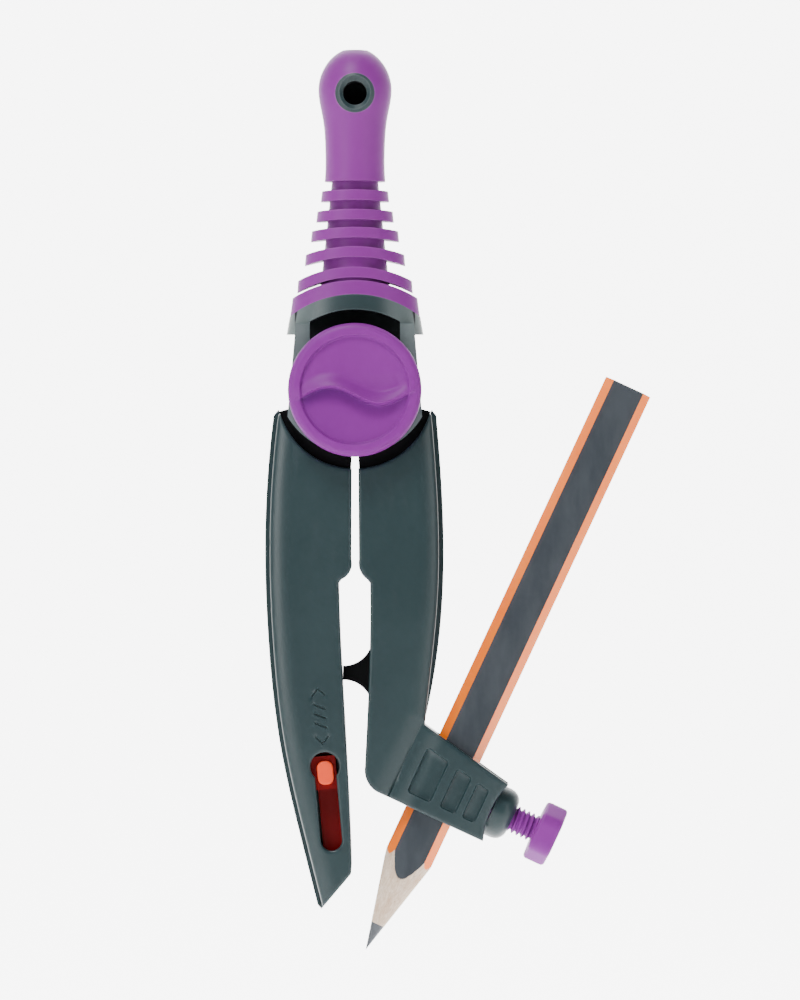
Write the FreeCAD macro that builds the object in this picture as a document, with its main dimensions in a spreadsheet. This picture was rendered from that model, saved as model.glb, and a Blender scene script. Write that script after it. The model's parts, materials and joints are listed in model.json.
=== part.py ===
"""Drawing compass: ribbed handle, locking hinge, two moulded legs, sliding needle, pencil clamp.

Row frame: +Z up the handle, front towards -Y, origin on the handle's axis where the hand holds it.
Every piece is drawn about the hinge axis and then lowered by hold_height. "Forward" means
towards the front, so a forward of 3 mm is y = -3 mm. Sketches lie on the XZ plane of their body,
whose normal points forward.
"""
import FreeCAD, Part
import math
import os

from FreeCAD import Placement, Rotation, Vector

# name, millimetres (or degrees), what it is
SIZES = (
    ("hold_height", 37.0, "hinge axis to the held middle of the handle"),
    ("handle_top", 49.2, "hinge axis to the top of the handle"),
    ("handle_half", 5.26, "largest half width of the handle's bulb"),
    ("handle_waist", 4.31, "half width of the handle's waist"),
    ("neck_top", 30.2, "hinge axis to the top of the ribbed neck"),
    ("neck_half_top", 3.35, "half width of the neck at its top"),
    ("neck_half_low", 5.1, "half width of the neck above the skirt"),
    ("stem_half_top", 2.2, "radius of the stem inside the handle"),
    ("stem_half_low", 3.6, "radius of the stem at the collar"),
    ("rib_thick", 1.5, "thickness of a rib"),
    ("skirt_thick", 2.0, "thickness of the skirt"),
    ("skirt_radius", 15.8, "radius of the arch where skirt meets collar"),
    ("skirt_drop", 2.0, "centre of that arch, below the hinge axis"),
    ("eyelet_drop", 6.4, "top of the handle to the eyelet"),
    ("eyelet_bore", 1.72, "radius of the eyelet's blind hole"),
    ("eyelet_ring", 2.84, "outer radius of the eyelet's countersink"),
    ("eyelet_depth", 4.0, "depth of the eyelet's hole"),
    ("collar_half", 9.9, "half width of the collar at its lip"),
    ("collar_low", 8.1, "hinge axis to the underside of the lip"),
    ("collar_depth", 5.9, "half depth of the collar at its lip"),
    ("cheek_half_top", 8.5, "half width of a cheek under the lip"),
    ("cheek_half_low", 9.7, "half width of a cheek at its lower corners"),
    ("cheek_corner", 3.8, "lower corners of a cheek, below the hinge axis"),
    ("cheek_bottom", 9.3, "lowest point of a cheek, below the hinge axis"),
    ("cheek_front", 4.7, "front face of the front cheek, forward of the middle"),
    ("back_depth", 5.4, "back faces that the compass lies on, behind the middle"),
    ("fork_half", 2.5, "half width of the fork between the cheeks"),
    ("fork_radius", 11.9, "radius of the fork's roof about the hinge axis"),
    ("window_half", 6.5, "half width of the arched window"),
    ("window_top", 11.6, "hinge axis to the crown of the window"),
    ("window_shoulder", 9.9, "hinge axis to the window's corners"),
    ("window_low", 8.4, "radius of the window's hidden lower edge"),
    ("bolt_radius", 2.0, "radius of the hinge bolt"),
    ("bolt_head", 3.4, "circumradius of the bolt's hexagon head"),
    ("bolt_head_thick", 1.5, "thickness of the bolt's head"),
    ("bolt_sunk", 0.3, "depth of the bolt's head below the back face"),
    ("running_gap", 0.06, "radial clearance of turning and sliding fits"),
    ("side_gap", 0.1, "clearance between stacked flat faces"),
    ("disc_radius", 9.3, "radius of a leg's hinge disc"),
    ("disc_thick", 2.0, "thickness of a leg's hinge disc"),
    ("washer_radius", 3.3, "radius of a thrust washer"),
    ("washer_thick", 0.2, "thickness of a thrust washer"),
    ("spring_rise", 0.35, "height of the conical spring washer"),
    ("spring_thick", 0.2, "thickness of the conical spring washer"),
    ("pin_radius", 0.75, "radius of the centring pin"),
    ("pin_rest", 4.3, "hinge axis to the centring pin when closed"),
    ("pin_rise", 3.0, "rise of the centring pin in each radian of swing"),
    ("pin_slot_deep", 0.9, "depth of the centring pin's slots in the cheeks"),
    ("swing_limit", 45.0, "largest swing of one leg in degrees"),
    ("knob_radius", 9.6, "radius of the lock knob"),
    ("knob_lift", 0.4, "knob's back face in front of the cheek, on the spring washer"),
    ("knob_thick", 3.6, "thickness of the lock knob at its rim"),
    ("knob_step", 7.6, "radius of the step in the knob's face"),
    ("knob_dish", 0.5, "depth of the knob's dished face"),
    ("knob_ridge", 1.6, "height of the knob's wave ridge above the rim"),
    ("knob_ridge_wide", 1.75, "width of the knob's wave ridge"),
    ("knob_nut", 3.6, "circumradius of the nut in the knob"),
    ("knob_nut_thick", 2.2, "thickness of the nut in the knob"),
    ("leg_length", 74.8, "hinge axis down to the tip of the left leg"),
    ("leg_half", 12.9, "largest distance of a leg's outer edge from the middle"),
    ("leg_front", 4.5, "front and back faces of the legs, from the middle"),
    ("leg_split", 1.0, "parting face of the leg shells, forward of the middle"),
    ("leg_wall", 1.2, "side walls of the leg shells"),
    ("leg_rim", 0.7, "rim of the back shell outside the front shell"),
    ("leg_round", 0.9, "rounding of the leg's front and back edges"),
    ("leg_hollow", 2.4, "half depth of the hollow in a leg"),
    ("leg_gap", 0.5, "half gap between the legs below the hinge"),
    ("cradle_radius", 11.4, "radius of the shells' tops about the hinge axis"),
    ("crescent_radius", 9.65, "inner radius of the black crescents"),
    ("frame_half", 2.25, "half depth of a leg frame's head"),
    ("frame_share", 0.655, "lower end of a leg frame, as a share of the leg"),
    ("shell_screw", 0.8, "radius of the shell screws"),
    ("shell_screw_head", 1.5, "head radius of the shell screws"),
    ("shell_screw_sunk", 1.2, "depth of the shell screws' heads"),
    ("screw_share_high", 0.254, "upper shell screws, as a share of the leg"),
    ("screw_share_low", 0.602, "lower shell screws, as a share of the leg"),
    ("screw_share_side", 0.562, "shell screws from the middle, as a share of leg_half"),
    ("stop_share", 0.5455, "closing stop, as a share of the leg"),
    ("stop_root", 3.4, "half height of the stop at the right leg"),
    ("stop_tip", 1.0, "half height of the stop at its tip"),
    ("stop_reach", 1.75, "tip of the stop, left of the middle"),
    ("slot_tilt", 5.2, "lean of the needle slot in degrees"),
    ("slot_side", 4.25, "thumb button, left of the middle"),
    ("slot_rise", 19.7, "thumb button above the left leg's tip"),
    ("slot_half", 1.52, "half width of the needle slot"),
    ("slot_keyhole", 2.07, "radius of the keyhole at the slot's top"),
    ("slot_run", 9.73, "length of the slot's straight part"),
    ("needle_travel", 9.2, "travel of the needle slide"),
    ("needle_radius", 0.45, "radius of the needle"),
    ("needle_side", 2.09, "needle, left of the slot's centre line"),
    ("needle_length", 21.0, "length of the needle"),
    ("needle_tip", 18.1, "button's centre to the needle's point"),
    ("carrier_half", 2.4, "half length of the needle carrier"),
    ("carrier_back", 1.5, "back of the carrier, forward of the middle"),
    ("chamber_front", 3.3, "front of the slide's chamber"),
    ("chamber_back", 1.2, "back of the slide's chamber, behind the middle"),
    ("button_wide", 2.3, "width of the thumb button"),
    ("button_long", 3.4, "length of the thumb button"),
    ("clamp_side", 12.6, "crossing of pencil and clamp screw, right of the middle"),
    ("clamp_rise", 17.7, "crossing of pencil and clamp screw, above the left leg's tip"),
    ("clamp_tilt", 25.0, "lean of the pencil in degrees"),
    ("clamp_front", 4.9, "front face of the clamp"),
    ("clamp_high_in", 7.05, "clamp's upper edge at the leg, above the screw axis"),
    ("clamp_high_out", 4.3, "clamp's upper edge at the boss, above the screw axis"),
    ("clamp_low", 4.65, "clamp's lower edge, below the screw axis"),
    ("clamp_in", 6.2, "clamp's upper inner corner, from the pencil's axis"),
    ("clamp_out", 8.6, "clamp's outer end, from the pencil's axis"),
    ("clamp_round", 0.6, "rounding of the clamp's edges"),
        ("pocket_deep", 0.45, "depth of the clamp's three pockets"),
    ("pencil_wide", 7.06, "width of the pencil across its corners"),
    ("pencil_face", 0.66, "wide face of the pencil as a share of its width"),
    ("pencil_long", 89.8, "length of the pencil, point to end"),
    ("pencil_point", 26.2, "pencil's point to the clamp screw's axis"),
    ("cone_angle", 13.6, "half angle of the sharpened cone in degrees"),
    ("lead_radius", 1.0, "radius of the lead"),
    ("pencil_gap", 0.25, "clearance between pencil and clamp"),
    ("jaw_gap", 0.05, "clearance between pencil and jaw"),
    ("jaw_thick", 1.3, "thickness of the jaw"),
    ("jaw_half", 2.9, "half height of the jaw"),
    ("boss_in", 7.9, "inner face of the boss, from the pencil's axis"),
    ("boss_out", 11.2, "outer face of the boss, from the pencil's axis"),
    ("boss_radius", 3.85, "radius of the boss"),
    ("screw_radius", 2.0, "outer radius of the clamp screw's thread"),
    ("thread_pitch", 0.75, "pitch of the clamp screw's thread"),
    ("thread_deep", 0.42, "depth of the clamp screw's thread"),
    ("screw_nose", 1.2, "radius of the clamp screw's nose"),
    ("screw_stand", 3.6, "thread seen between boss and head"),
    ("screw_head", 4.7, "circumradius of the clamp screw's head"),
    ("screw_head_thick", 3.3, "thickness of the clamp screw's head"),
)

doc = FreeCAD.newDocument("DrawingCompass")
sheet = doc.addObject("Spreadsheet::Sheet", "Sizes")
for row, (alias, value, meaning) in enumerate(SIZES, start=1):
    sheet.set(f"A{row}", meaning)
    sheet.set(f"B{row}", str(value))
    sheet.setAlias(f"B{row}", alias)
doc.recompute()


def size(alias):
    """The value of one driving dimension."""
    return float(sheet.get(alias))


nodes = []


def finish(node, label, place=None):
    """Name a finished sub-part and lower it from the hinge axis to the row's frame."""
    node.Label = label
    node.Placement = place if place else Placement()
    node.setExpression("Placement.Base.z", f"{node.Placement.Base.z} - Sizes.hold_height")
    nodes.append(node)


# ---- drawing helpers: plane geometry in (x, z), the sketch's own (x, y) ----

def point(x, z):
    return Vector(x, z, 0)


def polar(radius, degrees):
    angle = math.radians(degrees)
    return point(radius * math.cos(angle), radius * math.sin(angle))


def line(start, end):
    return Part.LineSegment(start, end)


def arc(start, middle, end):
    return Part.Arc(start, middle, end)


def spline(points):
    curve = Part.BSplineCurve()
    curve.interpolate(points)
    return curve


def polygon(points):
    return [line(a, b) for a, b in zip(points, points[1:] + points[:1])]


def circle(centre, radius):
    return [Part.Circle(centre, Vector(0, 0, 1), radius)]


def sector(inner, outer, start, end):
    """A ring sector about the origin between two angles in degrees."""
    middle = (start + end) / 2
    a, b = polar(inner, start), polar(outer, start)
    c, d = polar(outer, end), polar(inner, end)
    return [line(a, b), arc(b, polar(outer, middle), c), line(c, d), arc(d, polar(inner, middle), a)]


def mirrored(points):
    """The same points on the other side of the handle's axis."""
    return [point(-p.x, p.y) for p in points]


# ---- PartDesign helpers ----

def new_body(name):
    return doc.addObject("PartDesign::Body", name)


def sketch(body, name, edges, lift="0", role="XZ_Plane"):
    """Edges drawn parallel to one of the body's own planes, lifted along its normal."""
    plane = next(f for f in body.Origin.OriginFeatures if f.Role == role)
    drawing = body.newObject("Sketcher::SketchObject", name)
    drawing.AttachmentSupport = [(plane, "")]
    drawing.MapMode = "FlatFace"
    drawing.setExpression("AttachmentOffset.Base.z", lift)
    drawing.addGeometry(edges, False)
    return drawing


def pad(body, name, edges, low, high):
    """Material between two distances forward, each an expression."""
    drawing = sketch(body, name + "_outline", edges, low)
    feature = body.newObject("PartDesign::Pad", name)
    feature.Profile = drawing
    feature.setExpression("Length", f"({high}) - ({low})")
    return feature


def pocket(body, name, edges, low, high):
    """A hollow between two distances forward; the volume has to fall."""
    doc.recompute()
    before = body.Shape.Volume
    drawing = sketch(body, name + "_outline", edges, high)
    feature = body.newObject("PartDesign::Pocket", name)
    feature.Profile = drawing
    feature.setExpression("Length", f"({high}) - ({low})")
    doc.recompute()
    if not body.Shape.Volume < before:
        raise RuntimeError(name + " cuts nothing")
    return feature


def round_edges(body, base, name, radius, names):
    doc.recompute()
    feature = body.newObject("PartDesign::Fillet", name)
    feature.Base = (base, names)
    feature.setExpression("Radius", radius)
    doc.recompute()
    return feature


def flat_edges(shape, forward):
    """Names of the edges lying in the plane this far forward."""
    names = []
    for number, edge in enumerate(shape.Edges, start=1):
        box = edge.BoundBox
        if abs(box.YMin + forward) < 1e-4 and abs(box.YMax + forward) < 1e-4:
            names.append(f"Edge{number}")
    return names


def longest_edge(shape, forward):
    """Name of the longest edge in the plane this far forward: a leg's outer side."""
    names = flat_edges(shape, forward)
    return [max(names, key=lambda name: shape.getElement(name).Length)]


# ---- Part helpers, for pieces made of turned and boxed shapes ----

FORWARD = Rotation(Vector(1, 0, 0), 90)  # turns +Z to -Y


def rod(name, radius, length, place):
    """A cylinder whose radius and length are expressions."""
    solid = doc.addObject("Part::Cylinder", name)
    solid.setExpression("Radius", radius)
    solid.setExpression("Height", length)
    solid.Placement = place
    return solid


def prism(name, sides, radius, length, place):
    solid = doc.addObject("Part::Prism", name)
    solid.Polygon = sides
    solid.setExpression("Circumradius", radius)
    solid.setExpression("Height", length)
    solid.Placement = place
    return solid


def fused(name, parts):
    union = doc.addObject("Part::MultiFuse", name)
    union.Shapes = parts
    return union


def cut(name, base, tool):
    result = doc.addObject("Part::Cut", name)
    result.Base = base
    result.Tool = tool
    return result


def shaped(name, shape):
    """A piece whose shape is worked out here from the driving dimensions."""
    feature = doc.addObject("Part::Feature", name)
    feature.Shape = shape
    return feature


def forward_at(distance, x=0.0, z=0.0):
    """Where a turned piece starts whose axis points forward."""
    return Placement(Vector(x, -distance, z), FORWARD)


def block(low, high):
    """A box between two corners."""
    return Part.makeBox(high[0] - low[0], high[1] - low[1], high[2] - low[2], Vector(*low))


def turned(profile, axis=Vector(0, 0, 1)):
    """A solid turned from (radius, height) points about the Z axis."""
    outline = [Vector(r, 0, height) for r, height in profile]
    face = Part.Face(Part.makePolygon(outline + outline[:1]))
    return face.revolve(Vector(0, 0, 0), axis, 360)


# Frames of the two tilted mechanisms, about the hinge axis.
slot_place = Placement(
    Vector(-size("slot_side"), 0, size("slot_rise") - size("leg_length")),
    Rotation(Vector(0, 1, 0), -size("slot_tilt")),
)  # local x across the slot, local z up it
clamp_turn = math.radians(size("clamp_tilt"))
pencil_up = Vector(math.sin(clamp_turn), 0, math.cos(clamp_turn))
screw_out = Vector(math.cos(clamp_turn), 0, -math.sin(clamp_turn))
clamp_centre = Vector(size("clamp_side"), 0, size("clamp_rise") - size("leg_length"))
clamp_place = Placement(clamp_centre, Rotation(pencil_up, Vector(0, -1, 0), screw_out, "ZXY"))
# local x up the pencil, local y forward, local z out along the clamp screw


def slot_point(across, up):
    """A sketch point given in the slot's own frame."""
    place = slot_place.multVec(Vector(across, 0, up))
    return point(place.x, place.z)


def clamp_point(up, out):
    """A sketch point given in the clamp's own frame."""
    place = clamp_place.multVec(Vector(up, 0, out))
    return point(place.x, place.z)


# ---- head: yoke and grip sleeve ----

def ellipse_face(half, depth, height):
    curve = Part.Ellipse(Vector(0, 0, height), half, depth) if half > depth else Part.Circle(
        Vector(0, 0, height), Vector(0, 0, 1), half)
    return Part.Wire(curve.toShape())


def tapered(low, high):
    """A loft between two (half width, half depth, height) ellipses."""
    return Part.makeLoft([ellipse_face(*low), ellipse_face(*high)], True, True)


def arched_slab(centre_z, inner, outer, half):
    """A band between two arcs about (0, centre_z), as deep as any piece of the head."""
    deep = 2 * size("collar_depth")
    big = Part.makeCylinder(outer, 2 * deep, Vector(0, deep, centre_z), Vector(0, -1, 0))
    small = Part.makeCylinder(inner, 2 * deep, Vector(0, deep, centre_z), Vector(0, -1, 0))
    keep = block((-half, -deep, centre_z), (half, deep, centre_z + outer + 1))
    return big.cut(small).common(keep)


def skirt_bottom():
    """Height of the collar's crown, where the skirt sits on it."""
    return size("skirt_radius") - size("skirt_drop")


def eyelet_height():
    return size("handle_top") - size("eyelet_drop")


def leg_share(alias):
    """Distance below the hinge axis of a place given as a share of the leg."""
    return size(alias) * size("leg_length")


def make_yoke():
    """Stem, collar and the two cheeks of the fork, one moulding."""
    low = size("collar_low")
    half, depth = size("collar_half"), size("collar_depth")
    collar = tapered((half, depth, low), (half - 1.05, depth - 0.35, low + 6.0))
    dome = Part.makeCylinder(
        size("skirt_radius"), 4 * depth, Vector(0, 2 * depth, -size("skirt_drop")), Vector(0, -1, 0))
    collar = collar.common(dome)

    corner = size("cheek_corner")
    top = low + 1.5
    outline = [
        line(point(-size("cheek_half_top"), top), point(-size("cheek_half_low"), -corner)),
        arc(point(-size("cheek_half_low"), -corner), point(0, -size("cheek_bottom")),
            point(size("cheek_half_low"), -corner)),
        line(point(size("cheek_half_low"), -corner), point(size("cheek_half_top"), top)),
        line(point(size("cheek_half_top"), top), point(-size("cheek_half_top"), top)),
    ]
    cheeks = new_body("yoke_cheeks")
    pad(cheeks, "yoke_plate", outline, "-Sizes.back_depth", "Sizes.cheek_front")

    window_half, shoulder = size("window_half"), size("window_shoulder")
    low_corner = math.degrees(math.acos(window_half / size("window_low")))
    sill_left, sill_right = polar(size("window_low"), 180 - low_corner), polar(size("window_low"), low_corner)
    window = [
        line(sill_left, point(-window_half, shoulder)),
        arc(point(-window_half, shoulder), point(0, size("window_top")), point(window_half, shoulder)),
        line(point(window_half, shoulder), sill_right),
        arc(sill_right, polar(size("window_low"), 90), sill_left),
    ]
    window_cut = new_body("yoke_window")
    pad(window_cut, "yoke_window_way", window, "Sizes.fork_half - 1", "2 * Sizes.collar_depth")

    stem_low = skirt_bottom() - 1.5
    boss_reach = size("handle_half") - 0.06
    eyelet_z = eyelet_height()
    stem = turned((
        (0, stem_low), (size("stem_half_low"), stem_low), (size("stem_half_low"), stem_low + 1.5),
        (size("stem_half_top"), size("neck_top")), (size("stem_half_top"), eyelet_z + 3), (0, eyelet_z + 4.5),
    ))
    eyelet_boss = Part.makeCylinder(
        size("eyelet_ring"), boss_reach, Vector(0, 0, eyelet_z), Vector(0, -1, 0)
    ).common(grip_outside())
    solid = shaped("yoke_collar", collar.fuse([stem, eyelet_boss]))
    doc.recompute()

    fork = Part.makeCylinder(
        size("fork_radius"), 2 * size("fork_half"), Vector(0, size("fork_half"), 0), Vector(0, -1, 0))
    wide = 2 * half
    fork = fork.fuse(block((-wide, -size("fork_half"), -wide), (wide, size("fork_half"), low - 0.6)))
    gap = size("running_gap")
    bore = Part.makeCylinder(
        size("bolt_radius") + gap, 4 * depth, Vector(0, 2 * depth, 0), Vector(0, -1, 0))
    head_place = size("back_depth") - size("bolt_sunk") - size("bolt_head_thick")
    head_seat = doc.addObject("Part::Prism", "yoke_head_seat")
    head_seat.Polygon = 6
    head_seat.Circumradius = size("bolt_head") + gap
    head_seat.Height = size("back_depth")
    head_seat.Placement = Placement(Vector(0, head_place, 0), Rotation(Vector(1, 0, 0), -90))

    rise = math.radians(size("swing_limit")) * size("pin_rise")
    pin_half = size("pin_radius") + gap
    slot_deep = size("fork_half") + size("pin_slot_deep")
    pin_way = block((-pin_half, -slot_deep, size("pin_rest")), (pin_half, slot_deep, size("pin_rest") + rise))
    for height in (size("pin_rest"), size("pin_rest") + rise):
        end = Part.makeCylinder(pin_half, 2 * slot_deep, Vector(0, slot_deep, height), Vector(0, -1, 0))
        pin_way = pin_way.fuse(end)

    ring_deep = size("handle_half") - 0.9
    eyelet_hole = Part.makeCylinder(
        size("eyelet_bore"), size("eyelet_depth") + 3, Vector(0, -ring_deep + size("eyelet_depth"), eyelet_z),
        Vector(0, -1, 0))
    countersink = Part.makeCone(
        size("eyelet_bore"), size("eyelet_ring"), 0.9, Vector(0, -ring_deep, eyelet_z), Vector(0, -1, 0))
    knob_way = Part.makeCylinder(
        size("knob_radius") + 4 * gap, 2 * depth, Vector(0, -size("cheek_front"), 0), Vector(0, -1, 0))
    hollows = shaped("yoke_hollows", fork.fuse([bore, pin_way, eyelet_hole, countersink, knob_way]))
    body = fused("yoke_solid", [solid, cheeks])
    tool = fused("yoke_tools", [hollows, window_cut, head_seat])
    finish(cut("yoke_node", body, tool), "yoke")


def grip_outside():
    """The handle's round outside above the neck."""
    top, half, waist = size("handle_top"), size("handle_half"), size("handle_waist")
    neck = size("neck_top")
    crown = half / 3
    foot = 1.02 * waist
    stations = (
        (0.0, foot), (0.253, waist), (0.474, 1.08 * waist), (0.737, half), (0.91, 0.743 * half), (1.0, crown),
    )
    side = spline([Vector(radius, 0, neck + share * (top - neck)) for share, radius in stations])
    edges = [
        side, line(Vector(crown, 0, top), Vector(0, 0, top)), line(Vector(0, 0, top), Vector(0, 0, neck)),
        line(Vector(0, 0, neck), Vector(foot, 0, neck)),
    ]
    face = Part.Face(Part.Wire([edge.toShape() for edge in edges]))
    return face.revolve(Vector(0, 0, 0), Vector(0, 0, 1), 360)


# Ribs: top of the middle as a share of the neck, half width as a share of collar_half,
# half depth and arch radius.
RIBS = (
    (0.921, 0.497, 4.75, 90.0), (0.75, 0.563, 4.95, 60.0), (0.5915, 0.641, 5.1, 40.0),
    (0.4207, 0.727, 5.3, 24.0), (0.2409, 0.835, 5.5, 18.6),
)


def make_grip():
    """Soft purple sleeve with five ribs and a skirt, moulded over the stem."""
    neck, skirt_r = size("neck_top"), size("skirt_radius")
    neck_low = -size("skirt_drop") + skirt_r
    neck_cone = Part.makeCone(
        size("neck_half_low"), size("neck_half_top"), neck - neck_low, Vector(0, 0, neck_low))
    sleeve = grip_outside().fuse(neck_cone)
    depth = size("collar_depth")
    half = size("collar_half")
    for height, share, rib_depth, radius in RIBS:
        z = neck_low + height * (neck - neck_low)
        sag = radius - math.sqrt(radius ** 2 - (share * half) ** 2)
        envelope = tapered(
            (share * half + 0.15, rib_depth, z - sag - 2.5), (share * half - 0.2, rib_depth - 0.1, z + 0.5))
        slab = arched_slab(z - radius, radius - size("rib_thick"), radius, half)
        sleeve = sleeve.fuse(slab.common(envelope))
    skirt_top = neck_low + size("skirt_thick")
    envelope = tapered((half - 0.45, depth - 0.1, neck_low - 3.6), (half - 1.2, depth - 0.45, skirt_top))
    skirt = arched_slab(-size("skirt_drop"), skirt_r, skirt_r + size("skirt_thick"), half).common(envelope)
    sleeve = sleeve.fuse(skirt)
    dome = Part.makeCylinder(skirt_r, 4 * depth, Vector(0, 2 * depth, -size("skirt_drop")), Vector(0, -1, 0))
    sleeve = sleeve.cut(dome)
    sleeve = shaped("grip_blank", sleeve.removeSplitter())
    return sleeve


def finish_grip(blank):
    """The sleeve leaves out exactly the stem that it is moulded over."""
    eyelet_z, neck_low = eyelet_height(), skirt_bottom()
    stem = turned((
        (0, neck_low - 3), (size("stem_half_low"), neck_low - 3), (size("stem_half_low"), neck_low),
        (size("stem_half_top"), size("neck_top")), (size("stem_half_top"), eyelet_z + 3), (0, eyelet_z + 4.5),
    ))
    way = Part.makeCylinder(
        size("eyelet_ring"), 2 * size("handle_half"), Vector(0, 0, eyelet_z), Vector(0, -1, 0))
    core = shaped("grip_core", stem.fuse(way))
    finish(cut("grip_node", blank, core), "grip_sleeve")


# ---- hinge ----

def make_hinge():
    head_back = size("back_depth") - size("bolt_sunk")
    head = prism("bolt_head_solid", 6, "Sizes.bolt_head", "Sizes.bolt_head_thick", forward_at(-head_back))
    shank = rod(
        "bolt_shank", "Sizes.bolt_radius",
        "Sizes.back_depth - Sizes.bolt_sunk + Sizes.cheek_front + Sizes.knob_thick - 0.6",
        forward_at(-head_back))
    finish(fused("hinge_bolt_node", [head, shank]), "hinge_bolt")

    rings = []
    disc_face = size("side_gap") + size("disc_thick")
    for name, start in (("front", disc_face + 0.1), ("back", -disc_face - 0.1 - size("washer_thick"))):
        ring = rod(f"washer_{name}", "Sizes.washer_radius", "Sizes.washer_thick", forward_at(start))
        hole = rod(f"washer_{name}_hole", "Sizes.bolt_radius + Sizes.running_gap", "4", forward_at(start - 2))
        rings.append(cut(f"washer_{name}_ring", ring, hole))
    pair = doc.addObject("Part::Compound", "thrust_washers_node")
    pair.Links = rings
    finish(pair, "thrust_washers")

    inner, outer = size("bolt_radius") + 0.2, size("washer_radius") + 0.8
    rise, thick = size("spring_rise"), size("spring_thick")
    cone = turned(((inner, rise - thick), (inner, rise), (outer, thick), (outer, 0)))
    spring = shaped("spring_washer_node", cone)
    finish(spring, "spring_washer", forward_at(size("cheek_front")))

    length = 2 * (size("fork_half") + size("pin_slot_deep") - size("side_gap"))
    place = forward_at(-length / 2, 0, size("pin_rest"))
    finish(rod("centring_pin_node", "Sizes.pin_radius", str(length), place), "centring_pin", place)


WAVE_MIDDLE, WAVE_SWING, WAVE_HALF = 0.25, 1.2, 7.2  # height, amplitude and half length of the finger ridge


def wave(across):
    """Height of the knob's finger ridge above the hinge axis: a crest on the left, a trough on the right."""
    return WAVE_MIDDLE - WAVE_SWING * math.sin(math.pi * across / WAVE_HALF)


def make_knob():
    radius, back = size("knob_radius"), size("cheek_front") + size("knob_lift")
    rim = f"{back} + Sizes.knob_thick"
    knob = new_body("lock_knob_node")
    disc = pad(knob, "knob_disc", circle(point(0, 0), radius), str(back), rim)
    doc.recompute()
    round_edges(knob, disc, "knob_edge", "1.0", flat_edges(disc.Shape, back + size("knob_thick")))
    face = circle(point(0, 0), size("knob_step"))
    pocket(knob, "knob_face", face, f"{rim} - Sizes.knob_dish", f"{rim} + 1")

    half = size("knob_ridge_wide") / 2
    reach = radius - 1.3
    stations = [-reach + 2 * reach * i / 8 for i in range(9)]
    upper = [point(x, wave(x) + half) for x in stations]
    lower = [point(x, wave(x) - half) for x in stations]
    ridge = [
        spline(upper), line(upper[-1], lower[-1]), spline(lower[::-1]), line(lower[0], upper[0]),
    ]
    pad(knob, "knob_ridge_band", ridge, f"{rim} - Sizes.knob_dish - 0.5", f"{rim} + Sizes.knob_ridge")

    pocket(knob, "knob_bore", circle(point(0, 0), size("bolt_radius") + 0.4), f"{back} - 1", f"{rim} - 0.8")
    seat = [polar(size("knob_nut"), 60 * i) for i in range(6)]
    pocket(knob, "knob_seat", polygon(seat), f"{back} - 1", f"{back} + Sizes.knob_nut_thick")
    finish(knob, "lock_knob")

    nut = prism("knob_nut_blank", 6, "Sizes.knob_nut", "Sizes.knob_nut_thick - 0.2", forward_at(back + 0.2))
    hole = rod("knob_nut_hole", "Sizes.bolt_radius + Sizes.running_gap", "8", forward_at(back - 2))
    finish(cut("knob_nut_node", nut, hole), "knob_nut")


# ---- legs ----

# Outer edges: (share of leg length, share of leg_half) from the horn down.
LEFT_EDGE = ((0.048, 0.911), (0.238, 1.0), (0.484, 0.969), (0.685, 0.836), (0.87, 0.597), (0.992, 0.419))
RIGHT_EDGE = ((0.048, 0.911), (0.238, 0.985), (0.392, 0.982), (0.484, 0.938))
TIP_SHARE = 0.38  # tip of the left leg from the middle, as a share of leg_half
# Inner edges: (share of leg length, millimetres from the middle). The waist is the step where the gap widens.
WAIST_HIGH, WAIST_LOW = 0.326, 0.371
LEFT_WAIST = ((WAIST_HIGH, 0.55), (0.352, 0.85), (0.364, 1.9), (WAIST_LOW, 2.33))
RIGHT_WAIST = ((WAIST_HIGH, 0.6), (0.352, 0.95), (0.364, 1.8), (WAIST_LOW, 2.2))
LEFT_INSIDE = ((WAIST_LOW, 2.33), (0.499, 1.98), (0.675, 1.26), (0.915, 0.45))
LEFT_HEEL = ((0.931, 0.55),)
RIGHT_INSIDE = ((WAIST_LOW, 2.2), (0.496, 2.17), (0.588, 1.94))
UNDER_CLAMP = 1.2  # the right leg runs this far in under the clamp
HORN_ANGLE = 14.0  # top of a leg's outer horn, below the horizontal


def outer_edge(stations, rim):
    """Outer edge of a leg on the right-hand side, standing back by rim."""
    half, length = size("leg_half"), size("leg_length")
    return [point(share_x * half - rim, -share_z * length) for share_z, share_x in stations]


def cradle(side, rim):
    """The arc round the hinge disc, from the outer horn to the inner edge; side is -1 or +1."""
    radius, gap = size("cradle_radius"), size("leg_gap")
    horn = HORN_ANGLE + 4.5 * rim
    inner = math.degrees(math.asin(gap / radius))
    angles = (-horn, -(horn + 90 - inner) / 2, -(90 - inner))
    points = [polar(radius, angle) for angle in angles]
    return points if side > 0 else mirrored(points)


def inner_edge(side, stations):
    return [point(side * across, -share * size("leg_length")) for share, across in stations]


def waist_step(side, stations):
    """The rounded step from the narrow gap under the hinge to the wide gap below it."""
    top, middle, low, end = inner_edge(side, stations)
    return [arc(top, middle, low), line(low, end)]


def left_outline(rim):
    top = cradle(-1, rim)
    outer = mirrored(outer_edge(LEFT_EDGE, rim))
    tip = point(-TIP_SHARE * size("leg_half"), -size("leg_length"))
    step = waist_step(-1, LEFT_WAIST)
    inside = inner_edge(-1, LEFT_INSIDE)
    heel = inner_edge(-1, LEFT_HEEL)[0]
    return [arc(*top), line(top[2], step[0].StartPoint)] + step + [
        spline(inside), line(inside[-1], heel), line(heel, tip), line(tip, outer[-1]), spline(outer[::-1]),
        line(outer[0], top[0]),
    ]


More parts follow.
